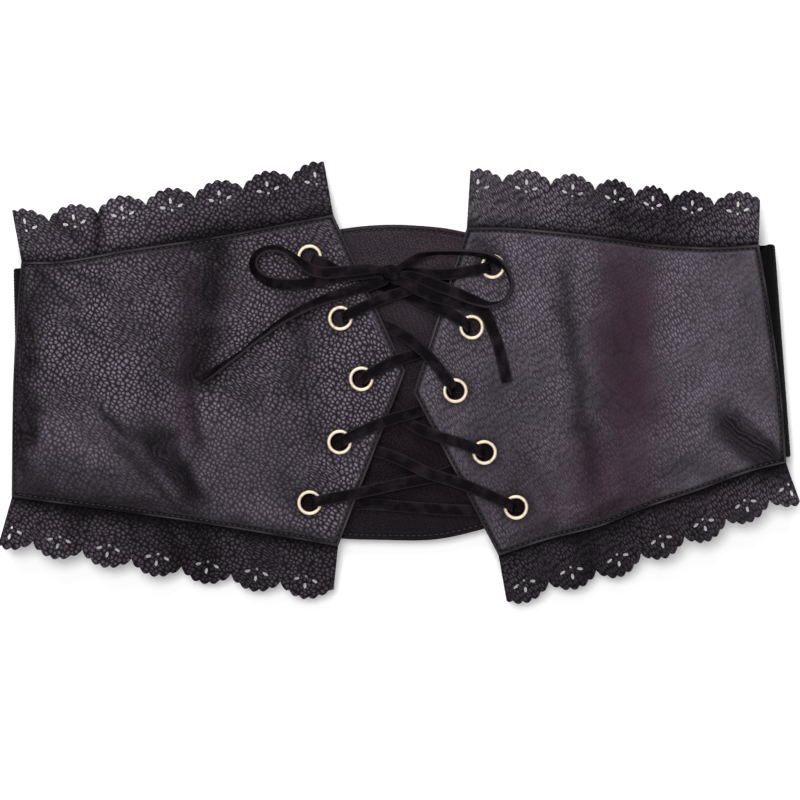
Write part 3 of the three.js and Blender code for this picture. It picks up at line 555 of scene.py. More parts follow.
# Free laces: each row ends with the roll in degrees, from flat to on edge, and the share of the lace's width.
BOW_ROUTES = {
    "bow_loop_left": [
        (-0.0083, 0.0508, 0.0045, 0, 0.55), (-0.0125, 0.051, 0.0044, 0, 0.8), (-0.0176, 0.0507, 0.0042, 0, 1),
        (-0.0266, 0.0497, 0.0041, 0, 1), (-0.0347, 0.0493, 0.0041, 8, 1), (-0.0405, 0.0512, 0.0043, 25, 1),
        (-0.0459, 0.0551, 0.0041, 48, 1), (-0.0513, 0.0589, 0.0033, 60, 1), (-0.0567, 0.0603, 0.003, 60, 1),
        (-0.0617, 0.0592, 0.003, 56, 1), (-0.065, 0.056, 0.0029, 50, 1), (-0.0656, 0.0524, 0.0028, 48, 1),
        (-0.0635, 0.0488, 0.0027, 44, 1), (-0.059, 0.0457, 0.00245, 34, 1), (-0.0522, 0.0443, 0.0019, 20, 1),
        (-0.046, 0.0442, 0.0014, 8, 1), (-0.0385, 0.045, 0.0015, 0, 1), (-0.0311, 0.0466, 0.00265, 0, 1),
        (-0.021, 0.0483, 0.0027, 0, 1), (-0.0125, 0.049, 0.0028, 0, 0.8), (-0.0084, 0.0492, 0.0029, 0, 0.55),
    ],
    "bow_loop_right": [
        (0.0006, 0.052, 0.0044, 10, 0.55), (0.0044, 0.0544, 0.0041, 30, 0.8), (0.0095, 0.0572, 0.0036, 55, 1),
        (0.0153, 0.0584, 0.0032, 72, 1), (0.0239, 0.0586, 0.0031, 74, 1), (0.0329, 0.0582, 0.0034, 70, 1),
        (0.041, 0.0562, 0.0041, 56, 1), (0.0464, 0.0529, 0.0041, 68, 1), (0.0495, 0.0484, 0.0034, 84, 1),
        (0.0506, 0.0434, 0.003, 88, 1), (0.0491, 0.0389, 0.0032, 88, 1), (0.045, 0.0358, 0.004, 80, 1),
        (0.0401, 0.035, 0.0044, 65, 1), (0.0338, 0.037, 0.0042, 35, 1), (0.0252, 0.0405, 0.0038, 15, 1),
        (0.0167, 0.0439, 0.0035, 5, 1), (0.0095, 0.0468, 0.0029, 0, 0.9), (0.0048, 0.0483, 0.003, 0, 0.7),
        (0.0012, 0.0488, 0.0031, 0, 0.55),
    ],
    "lace_tail_left": [
        (-0.0063, 0.0452, 0.002, 0, 0.55), (-0.009, 0.0446, 0.0012, 0, 0.7),
        (-0.012, 0.0439, 0.00095, 0, 0.9), (-0.018, 0.0424, 0.0009, 0, 1),
        (-0.0243, 0.0404, 0.0014, 10, 1), (-0.0347, 0.0369, 0.00245, 38, 1),
        (-0.049, 0.0299, 0.0029, 58, 1), (-0.0617, 0.0209, 0.00305, 70, 1), (-0.0716, 0.013, 0.00305, 76, 1),
        (-0.0815, 0.0061, 0.00285, 58, 1), (-0.0882, 0.0016, 0.00225, 38, 0.85),
    ],
    "lace_tail_right": [
        (-0.0003, 0.0456, 0.002, 0, 0.55), (0.0028, 0.0445, 0.0019, 0, 0.7), (0.0059, 0.0432, 0.0019, 0, 0.9),
        (0.01, 0.0411, 0.002, 0, 1), (0.015, 0.0389, 0.0023, 0, 1), (0.02, 0.0376, 0.0024, 0, 1),
        (0.026, 0.0359, 0.0019, 0, 1), (0.034, 0.0339, 0.0017, 0, 1), (0.0388, 0.031, 0.0015, 0, 1),
        (0.0422, 0.0236, 0.0009, 0, 1), (0.0455, 0.0137, 0.0009, 0, 1), (0.0486, 0.0002, 0.0009, 0, 1),
    ],
}
KNOT_CENTRE = (-0.0036, 0.0493, 0.003)
KNOT_SIZE = (0.0096, 0.0076, 0.0058)
KNOT_REACH = 0.002  # how far the tied ends run on into the knot

# The held lace, crossing by crossing: it leaves the first eyelet in front and reaches the second from behind.
CROSSINGS = [
    (("right", 4), ("left", 5), [
        (0.024, 0.0304, 0.0009), (0.0165, 0.0336, 0.00075), (0.012, 0.0356, -0.0006), (0.008, 0.0374, -0.002),
        (0.0014, 0.0403, -0.0031), (-0.008, 0.0439, -0.004), (-0.018, 0.048, -0.0041)]),
    (("left", 3), ("right", 4), [
        (-0.0018, 0.0097, 0.0009), (0.0028, 0.0112, 0.00085), (0.007, 0.0126, -0.0014),
        (0.0105, 0.0138, -0.0034), (0.018, 0.0175, -0.0041)]),
    (("right", 2), ("left", 3), [
        (0.027, -0.027, 0.0009), (0.0196, -0.025, 0.0009), (0.0145, -0.0232, 0.00085),
        (0.01, -0.0213, -0.0007), (0.0063, -0.0194, -0.002), (0.0025, -0.016, -0.0027),
        (-0.0015, -0.012, -0.0033), (-0.008, -0.0055, -0.0041)]),
    (("left", 1), ("right", 2), [
        (-0.0221, -0.0506, 0.0009), (-0.014, -0.0488, 0.00085), (0, -0.0458, -0.0013),
        (0.0139, -0.043, -0.0028), (0.022, -0.0406, -0.0037), (0.029, -0.0374, -0.0041)]),
    (("right", 1), ("left", 2), [
        (0.038, -0.0496, 0.0009), (0.029, -0.0459, 0.0009), (0.022, -0.0436, 0.0006),
        (0.0135, -0.041, -0.0003), (0.0023, -0.0356, -0.0022), (-0.006, -0.0323, -0.0034),
        (-0.013, -0.0303, -0.0041)]),
    (("left", 2), ("right", 3), [
        (-0.0153, -0.0214, 0.0009), (-0.006, -0.0174, 0.0009), (-0.0018, -0.016, 0.0008),
        (0.0035, -0.0146, 0.0001), (0.0066, -0.0138, -0.0013), (0.0096, -0.0128, -0.0031),
        (0.015, -0.01, -0.0041)]),
    (("right", 3), ("left", 4), [
        (0.0165, 0.008, 0.0009), (0.0125, 0.0126, 0.0009), (0.0085, 0.0163, 0.0006), (0.004, 0.02, -0.0006),
        (-0.001, 0.023, -0.0024), (-0.0052, 0.025, -0.0035), (-0.012, 0.0272, -0.0041)]),
    (("left", 4), ("right", 5), [
        (-0.012, 0.0357, 0.0009), (-0.004, 0.039, 0.0007), (0.0025, 0.041, 0.0001), (0.008, 0.0432, -0.0008),
        (0.014, 0.0453, -0.0024), (0.02, 0.0472, -0.0038), (0.03, 0.05, -0.0041)]),
]
BAR = [(-0.024, -0.0548, -0.0041), (-0.0088, -0.0552, -0.0041), (0.014, -0.057, -0.0041),
       (0.034, -0.0578, -0.0041)]
LEFT_END = [(-0.0243, 0.0489, 0.0009), (-0.016, 0.0489, 0.0011), (-0.0081, 0.0498, 0.0014)]
RIGHT_END = [(0.032, 0.0502, 0.0009), (0.024, 0.0489, 0.0009), (0.014, 0.0487, 0.0009),
             (0.005, 0.0494, 0.0012), (0.0011, 0.0498, 0.0013)]


def above(points):
    """Route points lifted from the panels' upper face."""
    x, y, lift = np.asarray(points, float)[:, :3].T
    return np.stack([x, y, underside(x, y) + PANEL_LEATHER + lift], -1)


def unit(v):
    return v / np.maximum(np.linalg.norm(v, axis=-1, keepdims=True), 1e-12)


def spline(knots, step):
    """A centripetal Catmull-Rom curve: knot times grow by the square root of each gap, and each stretch
    blends six straight lines. Returns the points and each one's place among the knots."""
    knots = np.asarray(knots, float)
    ends = np.concatenate([[2 * knots[0] - knots[1]], knots, [2 * knots[-1] - knots[-2]]])
    times = np.concatenate([[0], np.cumsum(np.sqrt(np.linalg.norm(np.diff(ends[:, :3], axis=0), axis=1)))])
    found, shares = [], []
    for k in range(1, len(ends) - 2):
        gap = np.linalg.norm(ends[k + 1, :3] - ends[k, :3])
        count = max(2, int(round(gap / step)))
        share = np.arange(count) / count
        t0, t1, t2, t3 = times[k - 1:k + 3]
        t = mix(t1, t2, share)[:, None]
        a1 = mix(ends[k - 1], ends[k], (t - t0) / (t1 - t0))
        a2 = mix(ends[k], ends[k + 1], (t - t1) / (t2 - t1))
        a3 = mix(ends[k + 1], ends[k + 2], (t - t2) / (t3 - t2))
        b1 = mix(a1, a2, (t - t0) / (t2 - t0))
        b2 = mix(a2, a3, (t - t1) / (t3 - t1))
        found.append(mix(b1, b2, (t - t1) / (t2 - t1)))
        shares.append(k - 1 + share)
    return np.concatenate(found + [knots[-1:]]), np.concatenate(shares + [[len(knots) - 1]])


LACE_ROUND = 0.00035  # of the lace's corners
LACE_CURL = 0.00022  # its middle stands this much proud of its edges
LACE_STEP = 0.0011


def lace_section():
    """The lace's section as (across, up, edge) rows in half widths and metres: a bowed, rounded oblong."""
    flat = np.linspace(-1, 1, 9)
    corner = np.linspace(0, math.pi / 2, 4)[1:-1]
    half = LACE_THICKNESS / 2
    r = LACE_ROUND
    w = LACE_WIDTH / 2
    top = [(u * (w - r), half) for u in flat]
    right = [(w - r + r * math.cos(a), half - r + r * math.sin(a)) for a in corner[::-1]]
    side = [(w, half - r), (w, 0), (w, r - half)]
    low_right = [(w - r + r * math.cos(a), r - half - r * math.sin(a)) for a in corner]
    bottom = [(-u * (w - r), -half) for u in flat]
    rest = [(-u, -v) for u, v in right + side + low_right]
    rows = np.array(top + right + side + low_right + bottom + rest)
    curl = LACE_CURL * (1 - (rows[:, 0] / w) ** 2) - LACE_CURL / 2
    return np.stack([rows[:, 0] / w, rows[:, 1] + curl, np.abs(rows[:, 0]) / w], -1)


def sweep_lace(name, line, across, width, seed, replaced):
    """A lace: its section carried along a line. At each point the section stands across the line, as wide as
    the width says, with small waves and a faint wander of its edges from smooth noise."""
    section = lace_section()
    along = unit(np.gradient(line, axis=0))
    across = unit(across - along * np.sum(across * along, axis=1, keepdims=True))
    up = np.cross(along, across)
    run = lengths_along(line)
    wave = 0.00012 * drift(run, run * 0 + seed, 0.006, seed)
    wander = 1 + 0.035 * drift(run, run * 0 + seed, 0.009, seed + 3)
    u = section[None, :, 0] * (width * wander)[:, None] * LACE_WIDTH / 2
    v = section[None, :, 1] + (wave * 0.5)[:, None] * section[None, :, 0]
    points = line[:, None] + across[:, None] * u[..., None] + up[:, None] * v[..., None]
    rings, around = points.shape[:2]
    # Painted sheen: 1 on the section's outer edges, where the colour is painted lighter, and 0.6 at the end
    # caps.
    edge = np.tile(smooth((section[:, 2] - 0.8) / 0.2), (rings, 1))
    cloud = np.concatenate([points.reshape(-1, 3), points[:1].mean(1), points[-1:].mean(1)])
    values = {"edge": np.concatenate([edge.ravel(), [0.6, 0.6]])}
    faces = outward(cloud, tube_faces(rings, around))
    obj = mesh_piece(name, cloud, faces, [SUEDE], values, sharp=50)
    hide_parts(replaced)
    return obj


def into_knot(line, across, width, both_ends):
    """A tied lace runs on into the knot from its first point, and from its last if both ends are tied."""
    middle = above([KNOT_CENTRE])
    first = line[:1] + unit(middle - line[:1]) * KNOT_REACH
    last = line[-1:] + unit(middle - line[-1:]) * KNOT_REACH
    count = len(line) + (2 if both_ends else 1)
    padded = (first, line, last), (across[:1], across, across[-1:]), (width[:1], width, width[-1:])
    return [np.concatenate(rows)[:count] for rows in padded]


def level_across(line):
    """The level direction across a line, pointing up the belt."""
    along = np.gradient(line, axis=0)
    across = unit(np.stack([-along[:, 1], along[:, 0], 0 * along[:, 0]], -1))
    return across * np.where(across[:, 1:2] < 0, -1, 1)


def bow_lace(name, seed):
    """A loop or a loose end: a smooth curve through its route, rolled about itself by its roll column."""
    route = np.array(BOW_ROUTES[name], float)
    knots = np.concatenate([above(route), route[:, 3:]], 1)
    found, _ = spline(knots, LACE_STEP)
    line, roll, width = found[:, :3], np.radians(found[:, 3]), found[:, 4]
    along = unit(np.gradient(line, axis=0))
    level = unit(np.stack([-along[:, 1], along[:, 0], 0 * along[:, 0]], -1))
    up = np.cross(along, level)
    across = level * np.cos(roll)[:, None] + up * np.sin(roll)[:, None]
    whole = into_knot(line, across, np.clip(width, 0.4, 1), "loop" in name)
    return sweep_lace(f"suede_{name}", *whole, seed, name), line


def eyelet_centre(side, number):
    return place(SHAPES[side], SHAPES[side]["eyelets"][number - 1])


def eyelet_turn(side, number, behind_point, front_point):
    """The lace's way through an eyelet, from behind to the front, in five points along its inner side."""
    centre = eyelet_centre(side, number)
    back = unit(np.array(behind_point[:2]) - centre)
    front = unit(np.array(front_point[:2]) - centre)
    middle = unit(back + front)
    bend = EYELET_BORE / 2 - CLEARANCE
    rows = [(back, 0.68, BEHIND + 0.0002), (middle, 0.46, BEHIND + 0.0011),
            (middle, 0.42, (BEHIND + ON_RING) / 2), (middle, 0.46, ON_RING - 0.0013),
            (front, 0.72, ON_RING - 0.0001)]
    points = [(*(centre + way * bend * out), lift) for way, out, lift in rows]
    across = [np.array([-way[1], way[0], 0.0]) for way, _, _ in rows]
    across = [a if a[1] >= 0 else -a for a in across]
    return [np.concatenate([p, a, [0.85]]) for p, a in zip(above(points), across)]


def past_ring(side, number, towards, lift):
    """A point just past an eyelet's ring, towards another point."""
    centre = eyelet_centre(side, number)
    way = unit(np.array(towards[:2]) - centre)
    return (*(centre + way * (EYELET_RING / 2 + CLEARANCE)), lift)


def level_stations(points):
    line = above(points)
    return [np.concatenate([p, a, [1.0]]) for p, a in zip(line, level_across(line))]


def held_lace():
    """The lace that the eyelets hold: from the knot down the left end, along the bar, up the right end."""
    def down(end, side):
        stations, arriving = [], end
        for row in range(5, 0, -1):
            last = arriving[-1]
            crossing = next((points for _, to, points in CROSSINGS if to == (side, row)), None)
            bar_here = BAR if side == "left" else BAR[::-1]
            leaving = crossing[::-1] if crossing else bar_here
            stations += level_stations([*arriving, past_ring(side, row, last, ON_RING)])
            stations += eyelet_turn(side, row, leaving[0], last)[::-1]
            arriving = leaving
            side = "right" if side == "left" else "left"
        return stations

    stations = down(LEFT_END[::-1], "left") + level_stations(BAR) + down(RIGHT_END[::-1], "right")[::-1]
    found, _ = spline(np.array(stations), LACE_STEP)
    sweep_lace("suede_lacing", *into_knot(found[:, :3], unit(found[:, 3:6]), found[:, 6], True), 41, "lacing")


def knot():
    """The bow's knot: a rounded body, x, y and z each a power of a cosine or sine, wound by two bands of lace
    whose raised section runs across it, with a shallow groove between them."""
    rings, around = 65, 96
    a = np.linspace(0, 2 * math.pi, around, endpoint=False)[None, :]
    b = np.linspace(-math.pi / 2, math.pi / 2, rings)[1:-1, None]

    def power(q):
        return np.sign(q) * np.abs(q) ** 0.75

    x = power(np.cos(b)) * power(np.cos(a))
    y = power(np.cos(b)) * power(np.sin(a))
    z = power(np.sin(b)) + 0 * a
    lean = x * 0.9 + y * 0.25
    band = smooth((0.62 - np.abs(lean)) / 0.12)
    groove = np.exp(-((lean - 0.05) / 0.06) ** 2)
    folds = 0.02 * np.sin(y * 14 + x * 5) * band
    swell = 0.84 + 0.12 * band - 0.06 * groove * band + folds
    size = np.array(KNOT_SIZE) / 2
    points = np.stack([x, y, z], -1) * swell[..., None] * size + above([KNOT_CENTRE])[0]
    cloud = np.concatenate([points.reshape(-1, 3), points[:1].mean(1), points[-1:].mean(1)])
    # Painted sheen: lighter colour along the bands' raised edges.
    edge = np.concatenate([(np.abs(np.abs(lean) - 0.6) < 0.07).astype(float).ravel(), [0, 0]])
    faces = outward(cloud, tube_faces(rings - 2, around))
    obj = mesh_piece("bow_knot_wound", cloud, faces, [SUEDE], {"edge": edge * 0.2})
    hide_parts("bow_knot")
    return obj


KNOT = knot()
for name, far_end in (("bow_loop_left", "object"), ("bow_loop_right", "object"),
                      ("lace_tail_left", "bare"), ("lace_tail_right", "bare")):
    strand, line = bow_lace(name, 11 + len(name))
    [tuple(p) for p in line[::4]] + [tuple(line[-1])]
held_lace()


# Front panels

EDGE_ROUND = PANEL_LEATHER / 2
SEAM_INSET = 0.0017
SEAM_DEPTH = 0.0006
SEAM_WIDTH = 0.00055
EDGE_SPACING = np.array([0, 0.00008, 0.0003, 0.0006, 0.0009, 0.0012, 0.0015, 0.0018, 0.0021, 0.0025, 0.003,
                         0.0037])
PANEL_STEP = 0.00078
PANEL_SPAN = (0.165, FRONT_HEIGHT * 0.86)  # about a panel's width and height, which space its grid
HOLE_PLAY = 0.00025  # a panel's hole reaches this far past the eyelet's bore, hidden under the ring
INSET_SLACK = 0.00008

WRINKLE_STRETCH = 1.8
WRINKLE_TURN = math.radians(118)
WRINKLE_WARP = 0.45
DEEPEST_FOLD = 0.0016
# Folds of the front, in millimetres: start x and y, end x and y, half width, depth (below 0 sinks); then
# the shade painted along the fold, from 0 to 1. A row of depth 0 is no fold, only painted shade.
FOLDS = [
    (-81.5, 72, -88, 25, 9.8, -1.8, 1), (-88, 30, -91.5, -6, 9, -1.5, 1),
    (-117, -16, -86.5, -59, 8.4, -1.4, 0.98), (-103, -25, -88, -54, 3, -1.2, 0.8),
    (-92.5, -2, -88.5, -34, 3, -0.8, 0.78), (-132, -22, -96, -60, 2.2, -0.8, 0.7),
    (-125, -19, -93, -57, 1.6, 0.6, 0), (-139, -8, -118, -29, 1.6, -0.7, 0.7),
    (-134, -15, -108, -29, 2.8, -0.6, 0.6), (-126, -25, -109, -42, 1.8, -0.5, 0.55),
    (-174, -40, -105, -59, 15, 0, 0.62), (-85, -30, -40, -45, 24, 0, 0.32), (-165, 50, -156, 30, 7, 0, 0.4),
    (-144.5, -16.5, -135.2, -29, 2, -0.5, 0.3), (-165.5, 50, -169.5, -52, 9, -0.3, 0.98),
    (-166, 54.5, -143, 32, 2.8, -0.6, 0.6), (-156, 52, -129, 42, 2.2, -0.5, 0.5),
    (-148, 30, -133, 13, 3, -0.4, 0.35), (-48, 42, -42.5, -15, 8.2, -0.4, 0.7),
    (-44, -15, -33, -30, 5, -0.3, 0.45), (-56, -43, -36, -60, 6, -0.3, 0.4),
    (-174, -49, -87.3, -60, 5.2, -0.3, 0.8), (-90, -60, -27, -70.5, 3.6, -0.2, 0.7),
    (-170, 50, -85, 62, 2.4, -0.2, 0.35), (-70, 48, -62, -10, 11, 0.3, 0), (-125, 35, -115, -15, 16, 0.5, 0),
    (-40, 10, -25, 20, 2.2, -0.3, 0.15), (-62, -42, -38, -33, 2, -0.3, 0.15),
    (-110, 50, -104, -20, 16, 0, 0.22), (74.5, 58, 88, -56, 4.4, -1, 0.72), (64, 45, 70, -45, 9, 0.5, 0),
    (150, 50, 148, -20, 15, 0.6, 0), (103, 66, 102, -48, 12.5, 0, 0.22), (43, 20, 56, -70, 18, 0, 0.36),
    (141, -10, 175, -43, 6, -1.6, 1), (152, -13, 176, -37, 1.4, -0.5, 0.55),
    (141, -20, 168, -43, 3.6, -0.6, 0.75), (150, -35, 100, -48, 9, 0, 0.36),
    (166.5, 60, 175.5, -33, 4, -0.3, 0.75), (46, -74.5, 74, -65, 4, -0.3, 0.6),
    (70, -66, 103, -55, 4.6, -0.4, 0.7), (100, -56, 170, -40, 3.4, -0.3, 0.45),
    (90.5, 65.5, 131, 62, 3.4, -0.3, 0.5), (64, 51, 78, 24, 2, -0.4, 0.2), (70, 54, 83, 30, 1.5, -0.3, 0.15),
    (50, -43, 62, -60, 2, -0.4, 0.22), (56, -33, 70, -56, 1.6, -0.3, 0.18), (33, 64, 46, 52, 5, 0, 0.6),
    (129, -35, 118, -42, 2.2, -0.4, 0.2), (-134, 93, -136.2, 56, 3, -1.6, 0.8),
    (-156, 74, -140, 61, 2.6, -0.8, 0.55), (-118, 62, -30, 77, 4.4, -0.5, 0.55),
    (-107.5, -60, -96, -88, 5, -1.4, 0.78), (-91.8, -62, -82.8, -92, 5.6, -1.4, 0.7),
    (-150, -56, -144, -80, 4, -0.8, 0.35), (-170, -53, -90, -65, 3.6, -0.3, 0.45),
    (-80, -66, -33, -74, 3.6, -0.3, 0.45), (90.5, 74.5, 135, 69, 4.4, -0.4, 0.55),
    (99, 92, 101, 70, 4, -1.2, 0.6), (112, 86, 145, 76, 7, 0, 0.35), (124, 90, 123, 70, 3, -0.8, 0.4),
    (72, -70, 108, -64, 4.4, -0.4, 0.5), (85, -70, 88, -90, 4, -1, 0.5),
    (129, -56, 138, -72, 3.4, -0.8, 0.35),
]

# Plum tint: centre x and y, half width, half height and strength.
PLUM = [(-0.0960, 0.0100, 0.0050, 0.0500, 0.5), (-0.0550, 0.0450, 0.0200, 0.0200, 0.2),
        (0.1025, 0.0150, 0.0145, 0.0580, 1.0), (0.0960, -0.0420, 0.0200, 0.0260, 0.75),
        (0.0700, -0.0550, 0.0180, 0.0180, 0.35), (0.0450, -0.0450, 0.0150, 0.0200, 0.25)]


def tip_height(shape):
    """How far up the lacing edge its tip stands, as a share."""
    bottom, tip, top = (shape[corner][1] for corner in ("front_bottom", "tip", "front_top"))
    return (tip - bottom) / (top - bottom)


def outline(shape):
    """The panel's border as one closed line of points."""
    share = np.linspace(0, 1, 160)
    front = np.array([0, tip_height(shape), 1])
    parts = [np.stack(panel_point(shape, share, 0 * share), -1),
             np.stack(panel_point(shape, 1 + 0 * front, front), -1),
             np.stack(panel_point(shape, share[::-1], 1 + 0 * share), -1),
             np.stack(panel_point(shape, 0 * share, share[::-1]), -1)]
    line = np.concatenate(parts)
    keep = np.concatenate([[True], np.linalg.norm(np.diff(line, axis=0), axis=1) > 1e-7])
    return line[keep]


def folds_at(x, y):
    """The folds' height and their painted shade: each fold sinks or rises, and darkens a painted light that
    starts at 1, by a bell curve of the distance from its line, which bows and wanders a little and fades at
    its ends. Fine lines run along its painted shade. Crossing folds sink together towards a greatest depth by
    an exponential."""
    z, tone = np.zeros(np.shape(x)), np.ones(np.shape(x))
    wander = drift(x, y, 0.011, 77) + 0.4 * drift(x, y, 0.004, 78)
    for *sizes, shade in FOLDS:
        x0, y0, x1, y1, half_width, depth = (size / 1000 for size in sizes)
        run_x, run_y = x1 - x0, y1 - y0
        length = math.hypot(run_x, run_y)
        t = ((x - x0) * run_x + (y - y0) * run_y) / length ** 2
        bow = 0.01 * length * np.sin(math.pi * np.clip(t, 0, 1))
        off = ((y - y0) * run_x - (x - x0) * run_y) / length + bow + half_width * 0.5 * wander
        bell = smooth((t + 0.15) / 0.4) * smooth((1.15 - t) / 0.4) * np.exp(-np.abs(off / half_width) ** 2.6)
        z = z + depth * bell
        lines = 0.5 + 0.5 * np.sin(off / 0.0003 + 3.5 * wander)
        tone = tone * (1 - shade * bell * (1 - 0.3 * lines))
    sunk = np.minimum(z, 0) / DEEPEST_FOLD
    return np.maximum(z, 0) - DEEPEST_FOLD * (1 - np.exp(sunk)), tone


def plum_at(x, y):
    """The plum tint's strength: the strongest of a few flat-topped oval bells, their edges wandering."""
    x = x + 0.0035 * drift(x, y, 0.012, 81)
    spots = [s * np.exp(-np.abs((x - cx) / half_x) ** 3 - np.abs((y - cy) / half_y) ** 3)
             for cx, cy, half_x, half_y, s in PLUM]
    return np.max(spots, axis=0)


def wrinkles(x, y, cell, seed):
    """Fine wrinkles, 1 on a line and 0 away from it, faded by noise. The lines are the borders of wide
    cells: one point is jittered in each square of a lattice that is warped, turned and stretched, and a
    border lies where the two nearest points are equally far."""
    faded = smooth(0.5 + 0.7 * drift(x, y, cell * 2, seed + 4))
    warp = WRINKLE_WARP * cell
    x, y = (x + warp * drift(x, y, cell * 2.3, seed + 5), y + warp * drift(x, y, cell * 2.3, seed + 6))
    c, s = math.cos(WRINKLE_TURN), math.sin(WRINKLE_TURN)
    u, v = (x * c + y * s) / (cell * WRINKLE_STRETCH), (y * c - x * s) / cell
    i, j = np.floor(u), np.floor(v)
    nearest = np.full(u.shape, FAR_AWAY)
    second = np.full(u.shape, FAR_AWAY)
    for di in (-1, 0, 1):
        for dj in (-1, 0, 1):
            px = i + di + 0.1 + 0.8 * random_at(i + di, j + dj, seed)
            py = j + dj + 0.1 + 0.8 * random_at(i + di, j + dj, seed + 1)
            far = np.hypot(u - px, v - py)
            second = np.where(far < nearest, nearest, np.minimum(second, far))
            nearest = np.minimum(nearest, far)
    inner = np.clip((second - nearest) / 0.36, 0, 1)
    return (1 - smooth(inner / 0.3)) * faded


def seam_profile(distance, inset, width, depth):
    """A stitched edge's relief: a groove at the inset, with the leather puffed up on each side of it."""
    groove = -depth * np.exp(-((distance - inset) / width) ** 2)
    puff = 0.3 * depth * np.exp(-((distance - inset - 3.2 * width) / (2.2 * width)) ** 2)
    return groove + puff


def shares(length, step):
    """Shares of a length: close together at both ends, even between."""
    first, last = EDGE_SPACING[-1], length - EDGE_SPACING[-1]
    inner = np.linspace(first, last, int((length - 2 * EDGE_SPACING[-1]) / step))
    return np.concatenate([EDGE_SPACING[:-1], inner, (length - EDGE_SPACING[:-1])[::-1]]) / length


def panel_relief(x, y, distance):
    """What lies on a panel's plain upper face: seam, folds, wrinkles and slow unevenness. Returns height
    and painted light, with shade painted into the folds, the wrinkles, the seam's groove and along the
    border."""
    inside = smooth((distance - 0.002) / 0.004)
    z, tone = folds_at(x, y)
    crease = wrinkles(x, y, 0.009, 20)
    slow = 0.0003 * drift(x, y, 0.021, 3) + 0.00016 * drift(x, y, 0.008, 4) + 0.00007 * drift(x, y, 0.0035, 5)
    seam = seam_profile(distance, SEAM_INSET, SEAM_WIDTH, SEAM_DEPTH)
    relief = seam + inside * (z + slow - 0.00012 * crease)
    # Painted shade in the seam's groove and the wrinkles, and in a band along the rounded border.
    groove = np.exp(-((distance - SEAM_INSET) / (SEAM_WIDTH * 1.15)) ** 2)
    border_shade = 1 - 0.55 * smooth((0.0022 - distance) / 0.0008)
    return relief, tone * (1 - 0.2 * crease) * (1 - 0.9 * groove) * border_shade


def pierce(points, faces, side, upper_count):
    """Opens the eyelets' holes: faces with a corner inside a hole go, and walls join the upper and lower
    borders that they leave, hidden under the rings."""
    near = np.full(len(points), FAR_AWAY)
    for number in range(1, 6):
        centre = eyelet_centre(side, number)
        near = np.minimum(near, np.hypot(points[:, 0] - centre[0], points[:, 1] - centre[1]))
    opened = near < EYELET_BORE / 2 + HOLE_PLAY
    kept = [f[~opened[f].any(1)] for f in faces]
    upper = kept[0]
    pairs = np.concatenate([upper[:, [k, (k + 1) % 4]] for k in range(4)]).astype(np.int64)
    back = pairs[:, 1] * len(points) + pairs[:, 0]
    border = pairs[~np.isin(pairs[:, 0] * len(points) + pairs[:, 1], back)]
    border = border[(near[border] < EYELET_RING).all(1)]
    below = np.full(len(points), -1)
    grid = points[:upper_count, :2]
    lower = np.unique(kept[1])
    lower = lower[(lower >= upper_count) & (near[lower] < EYELET_RING)]
    rim = np.unique(border)
    gap = np.hypot(grid[rim, None, 0] - points[lower, 0], grid[rim, None, 1] - points[lower, 1])
    below[rim] = lower[np.argmin(gap, axis=1)]
    walls = np.stack([border[:, 1], border[:, 0], below[border[:, 0]], below[border[:, 1]]], -1)
    return [*kept, walls]


def panel(side):
    """A front panel: a pillow of two grids. The upper face rounds off at the border by a quarter circle and
    carries seam, folds and grain; the lower one rounds off alike."""
    shape = SHAPES[side]
    tip_up = tip_height(shape)
    along, up = (shares(span, PANEL_STEP) for span in PANEL_SPAN)
    up[np.argmin(np.abs(up - tip_up))] = tip_up
    along, up = np.meshgrid(along, up)
    x, y = panel_point(shape, along, up)
    distance = line_distance(x, y, outline(shape))
    distance[0], distance[-1], distance[:, 0], distance[:, -1] = 0, 0, 0, 0
    edge_in = np.clip(distance / EDGE_ROUND, 0, 1)
    quarter = np.sqrt(1 - (1 - edge_in) ** 2)
    base = underside(x, y)
    middle = base + PANEL_LEATHER / 2
    top = middle + EDGE_ROUND * quarter
    relief, tone = panel_relief(x, y, distance)
    top = top + edge_in * relief
    low = middle - EDGE_ROUND * quarter + edge_in * 0.00005
    points, faces = pillow(np.stack([x, y, top], -1), np.stack([x, y, low], -1))
    faces = pierce(points, faces, side, x.size)
    # A darker ring painted just round each eyelet's ring.
    for number in range(1, 6):
        off = np.hypot(x - eyelet_centre(side, number)[0], y - eyelet_centre(side, number)[1])
        tone = tone * (1 - 0.4 * np.exp(-((off - 0.0062) / 0.0022) ** 2))
    plum = plum_at(x, y)
    grain = (1 - 0.75 * plum) * mix(0.2, 1, smooth((distance - 0.0014) / 0.003)) * mix(0.4, 1, tone)
    low = smooth(-y / 0.025) * smooth((np.abs(x) - 0.03) / 0.03)
    outer = smooth((np.abs(x) - 0.115) / 0.03)
    grain = grain * (mix(1, 0.6, low) if side == "left" else 0.6 * mix(1, 0.6, outer))
    # Rubbed edge, painted lighter in patches: partly wear, partly a painted highlight along the folded edge.
    worn = np.exp(-((distance - 0.0006) / 0.0003) ** 2) * smooth(0.35 + 0.7 * drift(x, y, 0.009, 31)) * 0.45
    values = pillow_values(points, grain=(grain, 0.6), tone=(tone, 1), plum=(plum, 0), worn=(worn, 0))
    obj = mesh_piece(f"front_panel_{side}", points, faces, [FINISHES[side]], values)
    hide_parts(f"panel_{side}")
    return obj


# Stitches: their pitch, length and thread thickness
STITCH_PITCH = 0.0026
STITCH_LENGTH = 0.0019
STITCH_THICKNESS = 0.00042


